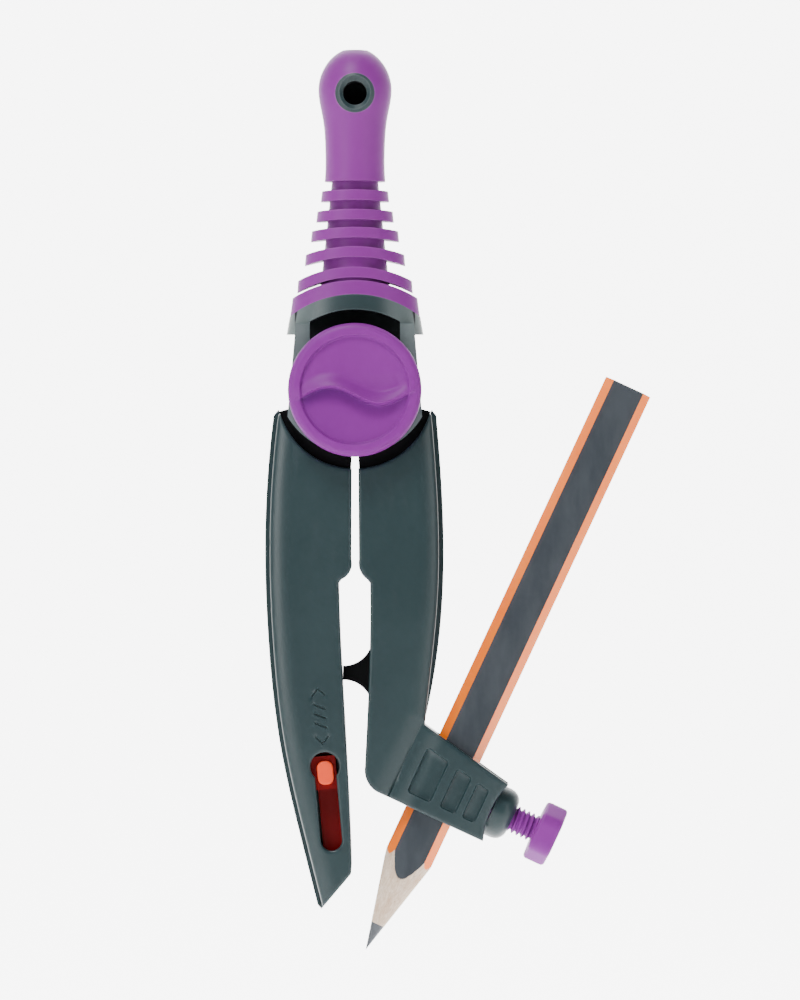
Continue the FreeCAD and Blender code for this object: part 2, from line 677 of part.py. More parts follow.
def right_outline(rim):
    """The right leg runs out under the clamp, which is drawn over its lower end."""
    top = cradle(1, rim)
    outer = outer_edge(RIGHT_EDGE, rim)
    step = waist_step(1, RIGHT_WAIST)
    corner = clamp_point(size("clamp_high_in") - 0.9 * rim, 0.5 * rim - size("clamp_in"))
    under = clamp_point(0, UNDER_CLAMP - size("clamp_in"))
    toe = clamp_point(-size("clamp_low"), UNDER_CLAMP - size("clamp_in"))
    foot = clamp_point(-size("clamp_low"), -size("clamp_in") - 2.0)
    knee, sole = point(1.45, foot.y + 3.7), point(2.0, foot.y + 1.15)
    inside = inner_edge(1, RIGHT_INSIDE) + [knee]
    return [arc(*top), line(top[2], step[0].StartPoint)] + step + [
        spline(inside), arc(knee, sole, foot), line(foot, toe), line(toe, under), line(under, corner),
        spline([corner] + outer[::-1]), line(outer[0], top[0]),
    ]


def hollow_outline(side, stations, low):
    """The hollow of a leg: inside its walls, open at the top where the frame enters."""
    wall = size("leg_wall") + size("leg_rim")
    length = size("leg_length")
    outer = [p for p in outer_edge(stations, wall) if p.y > -low + 2]
    outer = [point(outer[0].x - 0.2, outer[0].y - 1.5)] + outer[1:]
    last = point(outer[-1].x - 0.9, -low)
    inner = size("leg_gap") + size("leg_wall")
    points = [
        point(inner, -size("crescent_radius") + 0.5), point(inner, -WAIST_HIGH * length + 0.5),
        point(inner + 2.1, -WAIST_LOW * length - 1), point(inner + 2.1, -low), last,
    ] + outer[::-1]
    return points if side > 0 else mirrored(points)


def screw_centres(side):
    across = side * size("screw_share_side") * size("leg_half")
    return [point(across, -leg_share("screw_share_high")), point(across, -leg_share("screw_share_low"))]


def slot_outline():
    """Keyhole slot: a round eye over a straight slot with a round end."""
    half, run = size("slot_half"), size("slot_run")
    eye_up, eye = 0.9, size("slot_keyhole")
    join = eye_up - math.sqrt(eye ** 2 - half ** 2)
    return [
        arc(slot_point(half, join), slot_point(0, eye_up + eye), slot_point(-half, join)),
        line(slot_point(-half, join), slot_point(-half, -run)),
        arc(slot_point(-half, -run), slot_point(0, -run - half), slot_point(half, -run)),
        line(slot_point(half, -run), slot_point(half, join)),
    ]


CHAMBER_TOP, CHAMBER_RIGHT, CHAMBER_LEFT = 3.3, 1.75, 3.0  # slide chamber about the button


def chamber_outline():
    """The slide's chamber, wider beside the needle."""
    run = size("slot_run") + 2.6
    narrow = size("needle_travel") + 0.6
    side = size("slot_half") + 0.25
    return polygon([
        slot_point(CHAMBER_RIGHT, CHAMBER_TOP), slot_point(-CHAMBER_LEFT, CHAMBER_TOP),
        slot_point(-CHAMBER_LEFT, -narrow), slot_point(-side, -narrow),
        slot_point(-side, -run), slot_point(CHAMBER_RIGHT, -run),
    ])


MARK_UP, MARK_SPREAD, MARK_HALF, MARK_STEP = 8.2, 3.3, 1.0, 1.35  # arrow marks above the button


def arrow_marks():
    """Two chevrons and three slanting bars that show where the needle slides."""
    marks = []
    for lean in (1, -1):
        up = MARK_UP + lean * MARK_SPREAD
        wing_out, wing_in = up - 0.2 * lean, up - 0.6 * lean
        marks.append([
            slot_point(-MARK_HALF, wing_out), slot_point(0, up + 0.9 * lean), slot_point(MARK_HALF, wing_out),
            slot_point(MARK_HALF, wing_in), slot_point(0, up + 0.45 * lean), slot_point(-MARK_HALF, wing_in),
        ])
    for number in (-1, 0, 1):
        up = MARK_UP + MARK_STEP * number
        marks.append([
            slot_point(-0.9, up + 0.65), slot_point(-0.9, up + 0.25),
            slot_point(0.9, up - 0.65), slot_point(0.9, up - 0.25),
        ])
    return marks


def needle_way(radius):
    """The needle's channel, from above the carrier to the tip of the leg."""
    way = Part.makeCylinder(radius, 60, Vector(-size("needle_side"), -size("leg_split"), -30), Vector(0, 0, 1))
    keep = block((-10, -10, -30), (10, 10, CHAMBER_TOP + 3))
    way = way.common(keep)
    way.Placement = slot_place
    return way


def make_left_shells():
    front = new_body("left_front_blank")
    outline = left_outline(size("leg_rim"))
    plate = pad(front, "left_front_plate", outline, "Sizes.leg_split", "Sizes.leg_front")
    doc.recompute()
    names = longest_edge(plate.Shape, size("leg_front"))
    round_edges(front, plate, "left_front_round", "Sizes.leg_round", names)
    hollow = polygon(hollow_outline(-1, LEFT_EDGE, leg_share("frame_share") + 1))
    pocket(front, "left_front_hollow", hollow, "Sizes.leg_split - 1", "Sizes.leg_hollow")
    pocket(front, "left_front_chamber", chamber_outline(), "Sizes.leg_split - 1", "Sizes.chamber_front")
    pocket(front, "left_front_slot", slot_outline(), "Sizes.leg_split", "Sizes.leg_front + 1")
    for number, mark in enumerate(arrow_marks()):
        pocket(front, f"left_mark_{number}", polygon(mark), "Sizes.leg_front - 0.25", "Sizes.leg_front + 1")
    for number, centre in enumerate(screw_centres(-1)):
        pocket(front, f"left_front_hole_{number}", circle(centre, size("shell_screw")),
               "Sizes.leg_split - 1", "Sizes.leg_front - 1")
    way = shaped("left_front_way", needle_way(size("needle_radius") + size("running_gap")))
    finish(cut("left_front_node", front, way), "left_front_shell")

    back = new_body("left_back_blank")
    plate = pad(back, "left_back_plate", left_outline(0.0), "-Sizes.leg_front", "Sizes.leg_split")
    doc.recompute()
    names = longest_edge(plate.Shape, -size("leg_front"))
    round_edges(back, plate, "left_back_round", "Sizes.leg_round / 2", names)
    pocket(back, "left_back_hollow", hollow, "-Sizes.leg_hollow", "Sizes.leg_split + 1")
    pocket(back, "left_back_chamber", chamber_outline(), "-Sizes.chamber_back", "Sizes.leg_split + 1")
    shell_holes(back, "left_back", -1)
    way = shaped("left_back_way", needle_way(size("needle_radius") + size("running_gap")))
    finish(cut("left_back_node", back, way), "left_back_shell")


def shell_holes(body, name, side):
    """Clearance holes and countersunk seats for a back shell's screws."""
    for number, centre in enumerate(screw_centres(side)):
        pocket(body, f"{name}_hole_{number}", circle(centre, size("shell_screw") + 0.05),
               "-Sizes.leg_front - 1", "Sizes.leg_split")
        pocket(body, f"{name}_seat_{number}", circle(centre, size("shell_screw_head") + 0.1),
               "-Sizes.leg_front - 1", "-Sizes.leg_front + Sizes.shell_screw_sunk")


def clamp_outline(grow=0.0):
    low, high = -size("clamp_low"), size("clamp_high_out")
    return [
        clamp_point(size("clamp_high_in"), -size("clamp_in") + grow), clamp_point(high, size("clamp_out")),
        clamp_point(low, size("clamp_out")), clamp_point(low, -size("clamp_in") + 0.6 + grow),
    ]


POCKETS = ((-4.4, -0.6), (0.75, 3.35), (4.25, 6.4))  # sides of the pockets, from the pencil's axis
POCKET_HEAD, POCKET_FOOT = 2.3, 1.8  # margins above and below them


def pocket_outlines():
    """Three shallow rounded pockets on the clamp's front, between its sloping top and its foot."""
    slope = (size("clamp_high_in") - size("clamp_high_out")) / (size("clamp_in") + size("clamp_out"))
    foot = POCKET_FOOT - size("clamp_low")
    frames = []
    for left, right in POCKETS:
        top_left = size("clamp_high_in") - slope * (left + size("clamp_in")) - POCKET_HEAD
        top_right = size("clamp_high_in") - slope * (right + size("clamp_in")) - POCKET_HEAD
        corners = [(top_left, left), (top_right, right), (foot, right), (foot, left)]
        frames.append(rounded([clamp_point(*c) for c in corners], 0.6))
    return frames


def rounded(corners, radius):
    """A closed outline of straight sides and corner arcs."""
    edges, joints = [], []
    count = len(corners)
    for i, corner in enumerate(corners):
        before, after = corners[i - 1], corners[(i + 1) % count]
        into, out = (before - corner).normalize(), (after - corner).normalize()
        half_angle = math.acos(into.dot(out)) / 2
        run = radius / math.tan(half_angle)
        bisector = (into + out).normalize()
        centre = corner + bisector * (radius / math.sin(half_angle))
        joints.append((corner + into * run, centre - bisector * radius, corner + out * run))
    for i, joint in enumerate(joints):
        edges.append(arc(*joint))
        edges.append(line(joint[2], joints[(i + 1) % count][0]))
    return edges


def make_right_shells():
    channel_back = pencil_back() + size("pencil_gap")
    channel_front = pencil_front() + size("pencil_gap")
    high = 4 * size("pencil_wide")
    inner = size("pencil_wide") / 2 + size("pencil_gap")
    channel = block((-high, -channel_back, -inner), (high, channel_front, size("clamp_out") + 2))
    channel.Placement = clamp_place

    front = new_body("right_front_blank")
    outline = right_outline(size("leg_rim"))
    plate = pad(front, "right_front_plate", outline, "Sizes.leg_split", "Sizes.leg_front")
    doc.recompute()
    names = longest_edge(plate.Shape, size("leg_front"))
    round_edges(front, plate, "right_front_round", "Sizes.leg_round", names)
    clamp = pad(front, "right_front_clamp", polygon(clamp_outline()), "Sizes.leg_split", "Sizes.clamp_front")
    doc.recompute()
    names = flat_edges(clamp.Shape, size("clamp_front"))
    round_edges(front, clamp, "clamp_front_round", "Sizes.clamp_front - Sizes.leg_front - 0.05", names)
    hollow = polygon(hollow_outline(1, RIGHT_EDGE, leg_share("frame_share") + 1))
    pocket(front, "right_front_hollow", hollow, "Sizes.leg_split - 1", "Sizes.leg_hollow")
    for number, frame in enumerate(pocket_outlines()):
        pocket(front, f"clamp_pocket_{number}", frame, "Sizes.clamp_front - Sizes.pocket_deep",
               "Sizes.clamp_front + 1")
    for number, centre in enumerate(screw_centres(1)):
        pocket(front, f"right_front_hole_{number}", circle(centre, size("shell_screw")),
               "Sizes.leg_split - 1", "Sizes.leg_front - 1")
    finish(cut("right_front_node", front, shaped("right_front_channel", channel)), "right_front_shell")

    back = new_body("right_back_blank")
    plate = pad(back, "right_back_plate", right_outline(0.0), "-Sizes.leg_front", "Sizes.leg_split")
    clamp = pad(back, "right_back_clamp", polygon(clamp_outline()), "-Sizes.back_depth", "Sizes.leg_split")
    doc.recompute()
    names = flat_edges(clamp.Shape, -size("back_depth"))
    round_edges(back, clamp, "right_back_round", "Sizes.clamp_round", names)
    pocket(back, "right_back_hollow", hollow, "-Sizes.leg_hollow", "Sizes.leg_split + 1")
    shell_holes(back, "right_back", 1)
    tilt = -leg_share("stop_share")
    root = size("stop_root") + 0.1
    own_back = -size("side_gap") - size("disc_thick") - 0.05
    low, high, deep = tilt - root, tilt + root, size("leg_half") / 2
    door = polygon([point(0, high), point(0, low), point(deep, low), point(deep, high)])
    pocket(back, "stop_door", door, str(own_back), str(0.0))
    finish(cut("right_back_node", back, shaped("right_back_channel", channel.copy())), "right_back_shell")


# ---- leg frames ----

def spiral_slot(side):
    """Slot in a hinge disc that drives the centring pin: its radius grows evenly with the swing."""
    width = size("pin_radius") + size("running_gap")
    limit = math.radians(size("swing_limit"))
    slack = 0.03
    count = 9
    angles = [-slack + (limit + 2 * slack) * i / (count - 1) for i in range(count)]

    def centre(angle):
        radius = size("pin_rest") + size("pin_rise") * angle
        return point(side * radius * math.sin(angle), radius * math.cos(angle))

    def across(angle):
        radius, rate = size("pin_rest") + size("pin_rise") * angle, size("pin_rise")
        along = point(
            side * (rate * math.sin(angle) + radius * math.cos(angle)),
            rate * math.cos(angle) - radius * math.sin(angle)).normalize()
        return point(-along.y, along.x), along

    left = [centre(a) + across(a)[0] * width for a in angles]
    right = [centre(a) - across(a)[0] * width for a in angles]
    start = centre(angles[0]) - across(angles[0])[1] * width
    end = centre(angles[-1]) + across(angles[-1])[1] * width
    return [
        spline(left), arc(left[-1], end, right[-1]), spline(right[::-1]), arc(right[0], start, left[0]),
    ]


def make_frame(side, name, stations):
    """Black inner frame: hinge disc, visible crescent, neck inside the shells and a long arm."""
    low = "Sizes.side_gap" if side < 0 else "-Sizes.side_gap - Sizes.disc_thick"
    high = "Sizes.side_gap + Sizes.disc_thick" if side < 0 else "-Sizes.side_gap"
    half = "Sizes.frame_half"
    inner_angle = math.degrees(math.asin(size("leg_gap") / size("crescent_radius")))
    horn = HORN_ANGLE + 1.5
    start, end = (180 + horn, 270 - inner_angle) if side < 0 else (270 + inner_angle, 360 - horn)
    body = new_body(name + "_node")
    pad(body, name + "_disc", circle(point(0, 0), size("disc_radius")), low, high)
    web = sector(size("disc_radius") - 1, size("cradle_radius") - 0.05, start, end)
    pad(body, name + "_web", web, low, high)
    crescent = sector(size("crescent_radius"), size("cradle_radius") - 0.05, start, end)
    pad(body, name + "_crescent", crescent, f"-{half}", half)

    clearance = 0.15
    outline = hollow_outline(side, stations, leg_share("frame_share"))
    centre_x = side * size("leg_half") / 2
    arm = [point(p.x + math.copysign(clearance, centre_x - p.x), p.y) for p in outline]
    arm[0] = point(arm[0].x, -size("crescent_radius") - 0.6)
    arm[-1] = point(arm[-1].x - side * 0.9, -size("crescent_radius") * 0.55)
    pad(body, name + "_arm", polygon(arm), low, high)
    neck = [arm[0], point(arm[0].x, -15.5), point(arm[-1].x, -15.5), arm[-1]]
    pad(body, name + "_neck", polygon(neck), f"-{half}", half)
    if side > 0:
        add_stop(body, low, high)
    pocket(body, name + "_bore", circle(point(0, 0), size("bolt_radius") + size("running_gap")),
           f"{low} - 1", f"{high} + 1")
    pocket(body, name + "_spiral", spiral_slot(side), f"{low} - 1", f"{high} + 1")
    for number, centre in enumerate(screw_centres(side)):
        hole = circle(centre, size("shell_screw") + 0.1)
        pocket(body, f"{name}_hole_{number}", hole, f"{low} - 1", f"{high} + 1")
    finish(body, name)


def add_stop(body, low, high):
    """Closing stop: waisted sides narrowing from the right leg to a small tip at the left leg."""
    middle = -leg_share("stop_share")
    root, tip, reach = size("stop_root"), size("stop_tip"), size("stop_reach")
    waist_x = 0.2
    waist = (root + tip) / 2 - 0.75
    edge_x = 2.1
    outline = [
        line(point(edge_x + 3.2, middle + root), point(edge_x, middle + root)),
        arc(point(edge_x, middle + root), point(waist_x, middle + waist), point(-reach, middle + tip)),
        line(point(-reach, middle + tip), point(-reach, middle - tip)),
        arc(point(-reach, middle - tip), point(waist_x, middle - waist), point(edge_x, middle - root)),
        line(point(edge_x, middle - root), point(edge_x + 3.2, middle - root)),
        line(point(edge_x + 3.2, middle - root), point(edge_x + 3.2, middle + root)),
    ]
    pad(body, "stop_lug", outline, low, high)


def make_shell_screws(side, name):
    """Two pan-head screws driven from the back through the frame into the front shell."""
    solids = []
    for number, centre in enumerate(screw_centres(side)):
        start = size("leg_front") - 0.1
        head = rod(f"{name}_head_{number}", "Sizes.shell_screw_head", "Sizes.shell_screw_sunk - 0.1",
                   forward_at(-start, centre.x, centre.y))
        shank = rod(f"{name}_shank_{number}", "Sizes.shell_screw", "2 * Sizes.leg_front - 1.3",
                    forward_at(-start, centre.x, centre.y))
        solids.append(fused(f"{name}_screw_{number}", [head, shank]))
    pair = doc.addObject("Part::Compound", name + "_node")
    pair.Links = solids
    finish(pair, name)


# ---- needle slide ----

def make_needle_slide():
    half, back, split = size("carrier_half"), size("carrier_back"), size("leg_split")
    front = size("chamber_front") - size("side_gap")
    run = size("slot_run") + 2.4

    floor_back = size("chamber_back") - 0.05
    floor = block((-1.3, 0.35 - back, -run), (CHAMBER_RIGHT - 0.1, floor_back, CHAMBER_TOP - 0.1))
    finish(shaped("needle_guide_node", floor), "needle_guide", slot_place)

    slide = block((-1.65, -front, -half), (CHAMBER_RIGHT - 0.15, -back, half))
    arm = block((-CHAMBER_LEFT + 0.15, -front, -0.3), (-1.45, 0.0, half))
    carrier = slide.fuse(arm).removeSplitter()
    hole = Part.makeCylinder(
        size("needle_radius"), 4 * half, Vector(-size("needle_side"), -split, -2 * half), Vector(0, 0, 1))
    finish(shaped("needle_carrier_node", carrier.cut(hole)), "needle_carrier", slot_place)

    wide, long, proud = size("button_wide") / 2, size("button_long") / 2, size("leg_front") + 0.1
    button = block((-wide, -proud, -long), (wide, -front, long))
    upright = [edge for edge in button.Edges if edge.BoundBox.YLength > 1]
    button = button.makeFillet(wide * 0.85, upright)
    top = [edge for edge in button.Edges if edge.BoundBox.YMax < -proud + 0.01]
    button = button.makeFillet(0.35, top)
    finish(shaped("slide_button_node", button), "slide_button", slot_place)

    radius, length, tip = size("needle_radius"), size("needle_length"), size("needle_tip")
    cone = 8 * radius
    steel = turned(((0, -tip), (radius, -tip + cone), (radius, -tip + length), (0, -tip + length)))
    steel.Placement = Placement(Vector(-size("needle_side"), -split, 0), Rotation())
    needle = shaped("needle_blank", steel)
    holder = doc.addObject("Part::Compound", "needle_node")
    holder.Links = [needle]
    finish(holder, "needle", slot_place)


# ---- clamp ----

def make_clamp():
    gap = size("running_gap")
    inner, outer, radius = size("boss_in"), size("boss_out"), size("boss_radius")
    channel_front = pencil_front() + size("pencil_gap")
    channel_back = pencil_back() + size("pencil_gap")
    key = block((-radius, -channel_back, inner), (radius, channel_front, size("clamp_out")))
    nose = turned((
        (0, inner), (radius - 0.9, inner), (radius - 0.9, size("clamp_out")), (radius, size("clamp_out")),
        (radius, outer - 1.8), (radius - 0.15, outer - 1.2), (radius - 0.5, outer - 0.6),
        (radius - 1.0, outer - 0.15), (radius - 1.4, outer), (0, outer),
    ))
    bore = Part.makeCylinder(size("screw_radius") + gap, 2 * outer, Vector(0, 0, 0))
    finish(shaped("clamp_boss_node", key.fuse(nose).cut(bore).removeSplitter()), "clamp_boss", clamp_place)

    face = size("pencil_wide") / 2 + size("jaw_gap")
    back = face + size("jaw_thick")
    jaw_half = size("jaw_half")
    jaw = block((-jaw_half, -pencil_back() + 0.3, face), (jaw_half, channel_front - 0.15, back))
    socket = Part.makeCylinder(size("screw_nose") + gap, 2, Vector(0, 0, back - 0.8))
    finish(shaped("clamp_jaw_node", jaw.cut(socket)), "clamp_jaw", clamp_place)

    pitch, deep, thread = size("thread_pitch"), size("thread_deep"), size("screw_radius")
    start = back + 0.1
    head_start = outer + size("screw_stand")
    profile = [(0, back - 0.7), (size("screw_nose"), back - 0.7), (size("screw_nose"), start)]
    profile.append((thread - deep, start))
    turns = int((head_start - start) / pitch)
    for number in range(turns):
        root = start + number * pitch
        profile += [(thread - deep, root + 0.15 * pitch), (thread, root + 0.45 * pitch)]
        profile += [(thread, root + 0.7 * pitch), (thread - deep, root + pitch)]
    profile += [(thread - deep, head_start + 0.3), (0, head_start + 0.3)]
    shaft = turned(profile)
    corners = [Vector(size("screw_head") * math.cos(math.radians(60 * i)),
                      size("screw_head") * math.sin(math.radians(60 * i)), head_start) for i in range(6)]
    head = Part.Face(Part.makePolygon(corners + corners[:1])).extrude(Vector(0, 0, size("screw_head_thick")))
    upright = [edge for edge in head.Edges if edge.BoundBox.ZLength > 1]
    head = head.makeFillet(1.3, upright)
    rims = [edge for edge in head.Edges if edge.BoundBox.ZLength < 0.01]
    head = head.makeFillet(0.45, rims)
    finish(shaped("clamp_screw_node", shaft.fuse(head).removeSplitter()), "clamp_screw", clamp_place)


# ---- pencil ----

def pencil_section():
    """Three wide faces and three narrow ones: a triangle with its corners cut, one wide face forward."""
    wide = size("pencil_face") * size("pencil_wide")
    narrow = size("pencil_wide") - wide
    rise = math.sqrt(3) / 2
    front = (wide + 2 * narrow) * math.sqrt(3) / 6
    half = [
        (wide / 2, front), (size("pencil_wide") / 2, front - narrow * rise),
        (narrow / 2, front - (wide + narrow) * rise),
    ]
    return half + [(-across, forward) for across, forward in reversed(half)]


def pencil_back():
    """Depth of the pencil's back face behind its axis."""
    return -min(forward for across, forward in pencil_section())


def pencil_front():
    """Depth of the pencil's wide front face before its axis."""
    return max(forward for across, forward in pencil_section())


def make_pencil():
    """Sharpened tri-sided pencil: casing with a conical end, lead through its middle."""
    point_low = -size("pencil_point")
    long = size("pencil_long")
    outline = [Vector(point_low, forward, across) for across, forward in pencil_section()]
    prism_face = Part.Face(Part.makePolygon(outline + outline[:1]))
    blank = prism_face.extrude(Vector(long, 0, 0))
    slope = math.tan(math.radians(size("cone_angle")))
    cone = Part.makeCone(0, long * slope, long, Vector(point_low, 0, 0), Vector(1, 0, 0))
    casing = blank.common(cone)
    lead_hole = Part.makeCylinder(
        size("lead_radius"), 2 * long, Vector(point_low - 1, 0, 0), Vector(1, 0, 0))
    finish(shaped("pencil_casing_node", casing.cut(lead_hole)), "pencil_casing", clamp_place)

    lead_start = point_low + size("lead_radius") / slope
    lead = Part.makeCone(
        0, size("lead_radius"), lead_start - point_low, Vector(point_low, 0, 0), Vector(1, 0, 0))
    rest = Part.makeCylinder(
        size("lead_radius"), point_low + long - lead_start, Vector(lead_start, 0, 0), Vector(1, 0, 0))
    finish(shaped("pencil_lead_node", lead.fuse(rest).removeSplitter()), "pencil_lead", clamp_place)


make_yoke()
finish_grip(make_grip())
make_hinge()
make_knob()
make_frame(-1, "left_frame", LEFT_EDGE)
make_frame(1, "right_frame", RIGHT_EDGE)
make_left_shells()
make_right_shells()
make_shell_screws(-1, "left_shell_screws")
make_shell_screws(1, "right_shell_screws")
make_needle_slide()
make_clamp()
make_pencil()
doc.recompute()

for item in doc.Objects:
    if "Invalid" in item.State or "Error" in item.State:
        raise RuntimeError(f"{item.Label} failed: {item.State}")
for node in nodes:
    if node.Shape.isNull() or not node.Shape.isValid():
        raise RuntimeError(node.Label + " has no valid shape")

os.makedirs("parts", exist_ok=True)
for node in nodes:
    node.Shape.exportStep(f"parts/{node.Label}.step")
    print(node.Label, len(node.Shape.Solids), round(node.Shape.Volume, 2))
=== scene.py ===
"""Looks of the drawing compass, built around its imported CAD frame.

Everything is in metres in the row frame: +Z up the handle, front towards -Y, right is +X. Sizes below
are written in millimetres where they are compared with a ruler, and turned to metres by MM.
"""

import json
import math

import bmesh
import bpy
import numpy as np
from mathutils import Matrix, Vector
from mathutils.geometry import delaunay_2d_cdt


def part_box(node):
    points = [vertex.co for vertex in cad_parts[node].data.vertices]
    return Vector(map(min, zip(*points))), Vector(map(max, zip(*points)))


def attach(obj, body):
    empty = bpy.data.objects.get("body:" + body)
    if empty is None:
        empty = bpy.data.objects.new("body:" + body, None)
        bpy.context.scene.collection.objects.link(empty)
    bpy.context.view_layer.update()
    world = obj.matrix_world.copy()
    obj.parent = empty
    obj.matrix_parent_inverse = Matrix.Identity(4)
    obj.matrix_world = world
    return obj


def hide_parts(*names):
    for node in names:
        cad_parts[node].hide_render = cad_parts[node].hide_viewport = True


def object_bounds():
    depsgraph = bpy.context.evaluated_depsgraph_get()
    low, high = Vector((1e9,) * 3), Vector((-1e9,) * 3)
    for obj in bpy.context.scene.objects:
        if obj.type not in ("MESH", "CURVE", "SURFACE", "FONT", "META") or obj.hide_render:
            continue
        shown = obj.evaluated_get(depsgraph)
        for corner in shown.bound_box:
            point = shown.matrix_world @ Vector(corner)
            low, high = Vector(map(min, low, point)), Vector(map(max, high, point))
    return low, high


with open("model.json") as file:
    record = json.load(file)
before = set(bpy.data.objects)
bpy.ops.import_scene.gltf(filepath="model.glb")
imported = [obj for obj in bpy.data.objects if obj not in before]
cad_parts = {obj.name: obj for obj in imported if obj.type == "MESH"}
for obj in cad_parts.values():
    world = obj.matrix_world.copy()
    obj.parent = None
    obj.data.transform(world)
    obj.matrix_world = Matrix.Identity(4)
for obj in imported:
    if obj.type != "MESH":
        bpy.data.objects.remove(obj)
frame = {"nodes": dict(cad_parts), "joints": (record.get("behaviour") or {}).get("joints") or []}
cad_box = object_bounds()
nodes = frame["nodes"]

MM = 0.001
BACKDROP = 5.5  # glow of the paper behind the part
WORLD = 0.13  # fill light from all round

# Places worked out from the frame.
knob_low, knob_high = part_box("lock_knob")
HINGE = Vector(((knob_low.x + knob_high.x) / 2, 0, (knob_low.z + knob_high.z) / 2))
KNOB_RADIUS = (knob_high.x - knob_low.x) / 2
WAVE_LOW, WAVE_SWING, WAVE_TURN = 0.85 * MM, 1.2 * MM, math.pi / (7.2 * MM)  # finger ridge across the knob
joints = {joint["name"]: joint for joint in frame["joints"]}
SCREW_AXIS = Vector(joints["clamp_screw_turn"]["axis"])
CLAMP = Vector(joints["clamp_screw_turn"]["pos_m"])
PENCIL_UP = -Vector(joints["pencil_slide"]["axis"])
SLOT_UP = -Vector(joints["needle_travel"]["axis"])
button_low, button_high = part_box("slide_button")
BUTTON = (button_low + button_high) / 2
CLAMP_LEAN = math.atan2(PENCIL_UP.x, PENCIL_UP.z)
SLOT_LEAN = math.atan2(SLOT_UP.x, SLOT_UP.z)


# ---- material helpers ----

def srgb(red, green, blue):
    """Linear colour of an 8-bit screen colour."""
    def linear(value):
        value /= 255
        return value / 12.92 if value <= 0.04045 else ((value + 0.055) / 1.055) ** 2.4
    return (linear(red), linear(green), linear(blue), 1.0)


class Nodes:
    """Short names for building one material's node tree."""

    def __init__(self, name):
        self.material = bpy.data.materials.new(name)
        self.material.use_nodes = True
        self.tree = self.material.node_tree
        self.shader = self.tree.nodes["Principled BSDF"]
        self.coords = self.add("ShaderNodeTexCoord").outputs["Object"]

    def add(self, kind, **settings):
        node = self.tree.nodes.new(kind)
        for key, value in settings.items():
            setattr(node, key, value)
        return node

    def link(self, output, target):
        self.tree.links.new(output, target)

    def feed(self, socket, value):
        if hasattr(value, "is_linked"):
            self.link(value, socket)
        else:
            socket.default_value = value

    def noise(self, scale, detail=4.0, rough=0.5, vector=None, distortion=0.0):
        node = self.add("ShaderNodeTexNoise")
        self.link(vector or self.coords, node.inputs["Vector"])
        node.inputs["Scale"].default_value = scale
        node.inputs["Detail"].default_value = detail
        node.inputs["Roughness"].default_value = rough
        node.inputs["Distortion"].default_value = distortion
        return node.outputs["Fac"]

    def mapped(self, location=(0, 0, 0), scale=(1, 1, 1)):
        node = self.add("ShaderNodeMapping", vector_type="POINT")
        self.link(self.coords, node.inputs["Vector"])
        node.inputs["Location"].default_value = location
        node.inputs["Scale"].default_value = scale
        return node.outputs["Vector"]

    def math(self, operation, a, b=0.0):
        node = self.add("ShaderNodeMath", operation=operation)
        self.feed(node.inputs[0], a)
        self.feed(node.inputs[1], b)
        return node.outputs[0]

    def span(self, value, low, high, to_low=0.0, to_high=1.0):
        node = self.add("ShaderNodeMapRange", interpolation_type="SMOOTHSTEP")
        self.feed(node.inputs["Value"], value)
        for socket, number in zip(("From Min", "From Max", "To Min", "To Max"), (low, high, to_low, to_high)):
            node.inputs[socket].default_value = number
        return node.outputs["Result"]

    def mix(self, factor, a, b, blend="MIX"):
        node = self.add("ShaderNodeMix", data_type="RGBA", blend_type=blend)
        self.feed(node.inputs[0], factor)
        self.feed(node.inputs[6], a)
        self.feed(node.inputs[7], b)
        return node.outputs[2]

    def split(self, vector):
        node = self.add("ShaderNodeSeparateXYZ")
        self.link(vector, node.inputs[0])
        return node.outputs

    def bump(self, height, distance, strength=1.0, before=None):
        node = self.add("ShaderNodeBump")
        node.inputs["Strength"].default_value = strength
        node.inputs["Distance"].default_value = distance
        self.link(height, node.inputs["Height"])
        if before is not None:
            self.link(before, node.inputs["Normal"])
        return node.outputs["Normal"]

    def edge_wear_and_highlight(self, radius=0.35 * MM):
        """1 where the surface turns sharply, from the difference between rounded and true normals."""
        bevel = self.add("ShaderNodeBevel", samples=4)
        bevel.inputs["Radius"].default_value = radius
        geometry = self.add("ShaderNodeNewGeometry")
        dot = self.add("ShaderNodeVectorMath", operation="DOT_PRODUCT")
        self.link(bevel.outputs["Normal"], dot.inputs[0])
        self.link(geometry.outputs["Normal"], dot.inputs[1])
        return self.span(dot.outputs["Value"], 0.995, 0.90)

    def finish(self, color, roughness, normal=None, **constants):
        self.feed(self.shader.inputs["Base Color"], color)
        self.feed(self.shader.inputs["Roughness"], roughness)
        if normal is not None:
            self.link(normal, self.shader.inputs["Normal"])
        for name, value in constants.items():
            self.shader.inputs[name.replace("_", " ")].default_value = value
        return self.material


def moulded(name, base, light, rough=0.42, grain=0.012, tone=0.10, wear_and_highlight=0.35, wave=None, **constants):
    """Moulded plastic: spark-eroded grain, slow tone drift, faint scuffs, and paler edges that are partly
    rubbed and partly painted highlight; a wave colour adds painted shade under the knob's ridge.
    """
    n = Nodes(name)
    drift = n.noise(60, 3, 0.5)
    speck = n.noise(2600, 2, 0.6)
    scuff = n.noise(420, 8, 0.7, vector=n.mapped(scale=(1, 1, 0.25)))
    toned = n.mix(n.span(drift, 0.35, 0.65, 0, tone), base, light)
    # paler edges: partly rubbed plastic, partly painted highlight along the edges
    worn_and_highlit = n.math("MULTIPLY", n.edge_wear_and_highlight(), wear_and_highlight)
    color = n.mix(worn_and_highlit, toned, light)
    # wave holds the colour of the painted shade in the hollow under the knob's ridge
    if wave:
        color = shade_under_wave(n, color, wave)
    roughness = n.math("ADD", n.span(scuff, 0.55, 0.75, rough, rough + 0.14), n.math("MULTIPLY", speck, 0.05))
    normal = n.bump(speck, grain * MM, 0.6)
    normal = n.bump(drift, 0.02 * MM, 0.3, normal)
    return n.finish(color, roughness, normal, **constants)


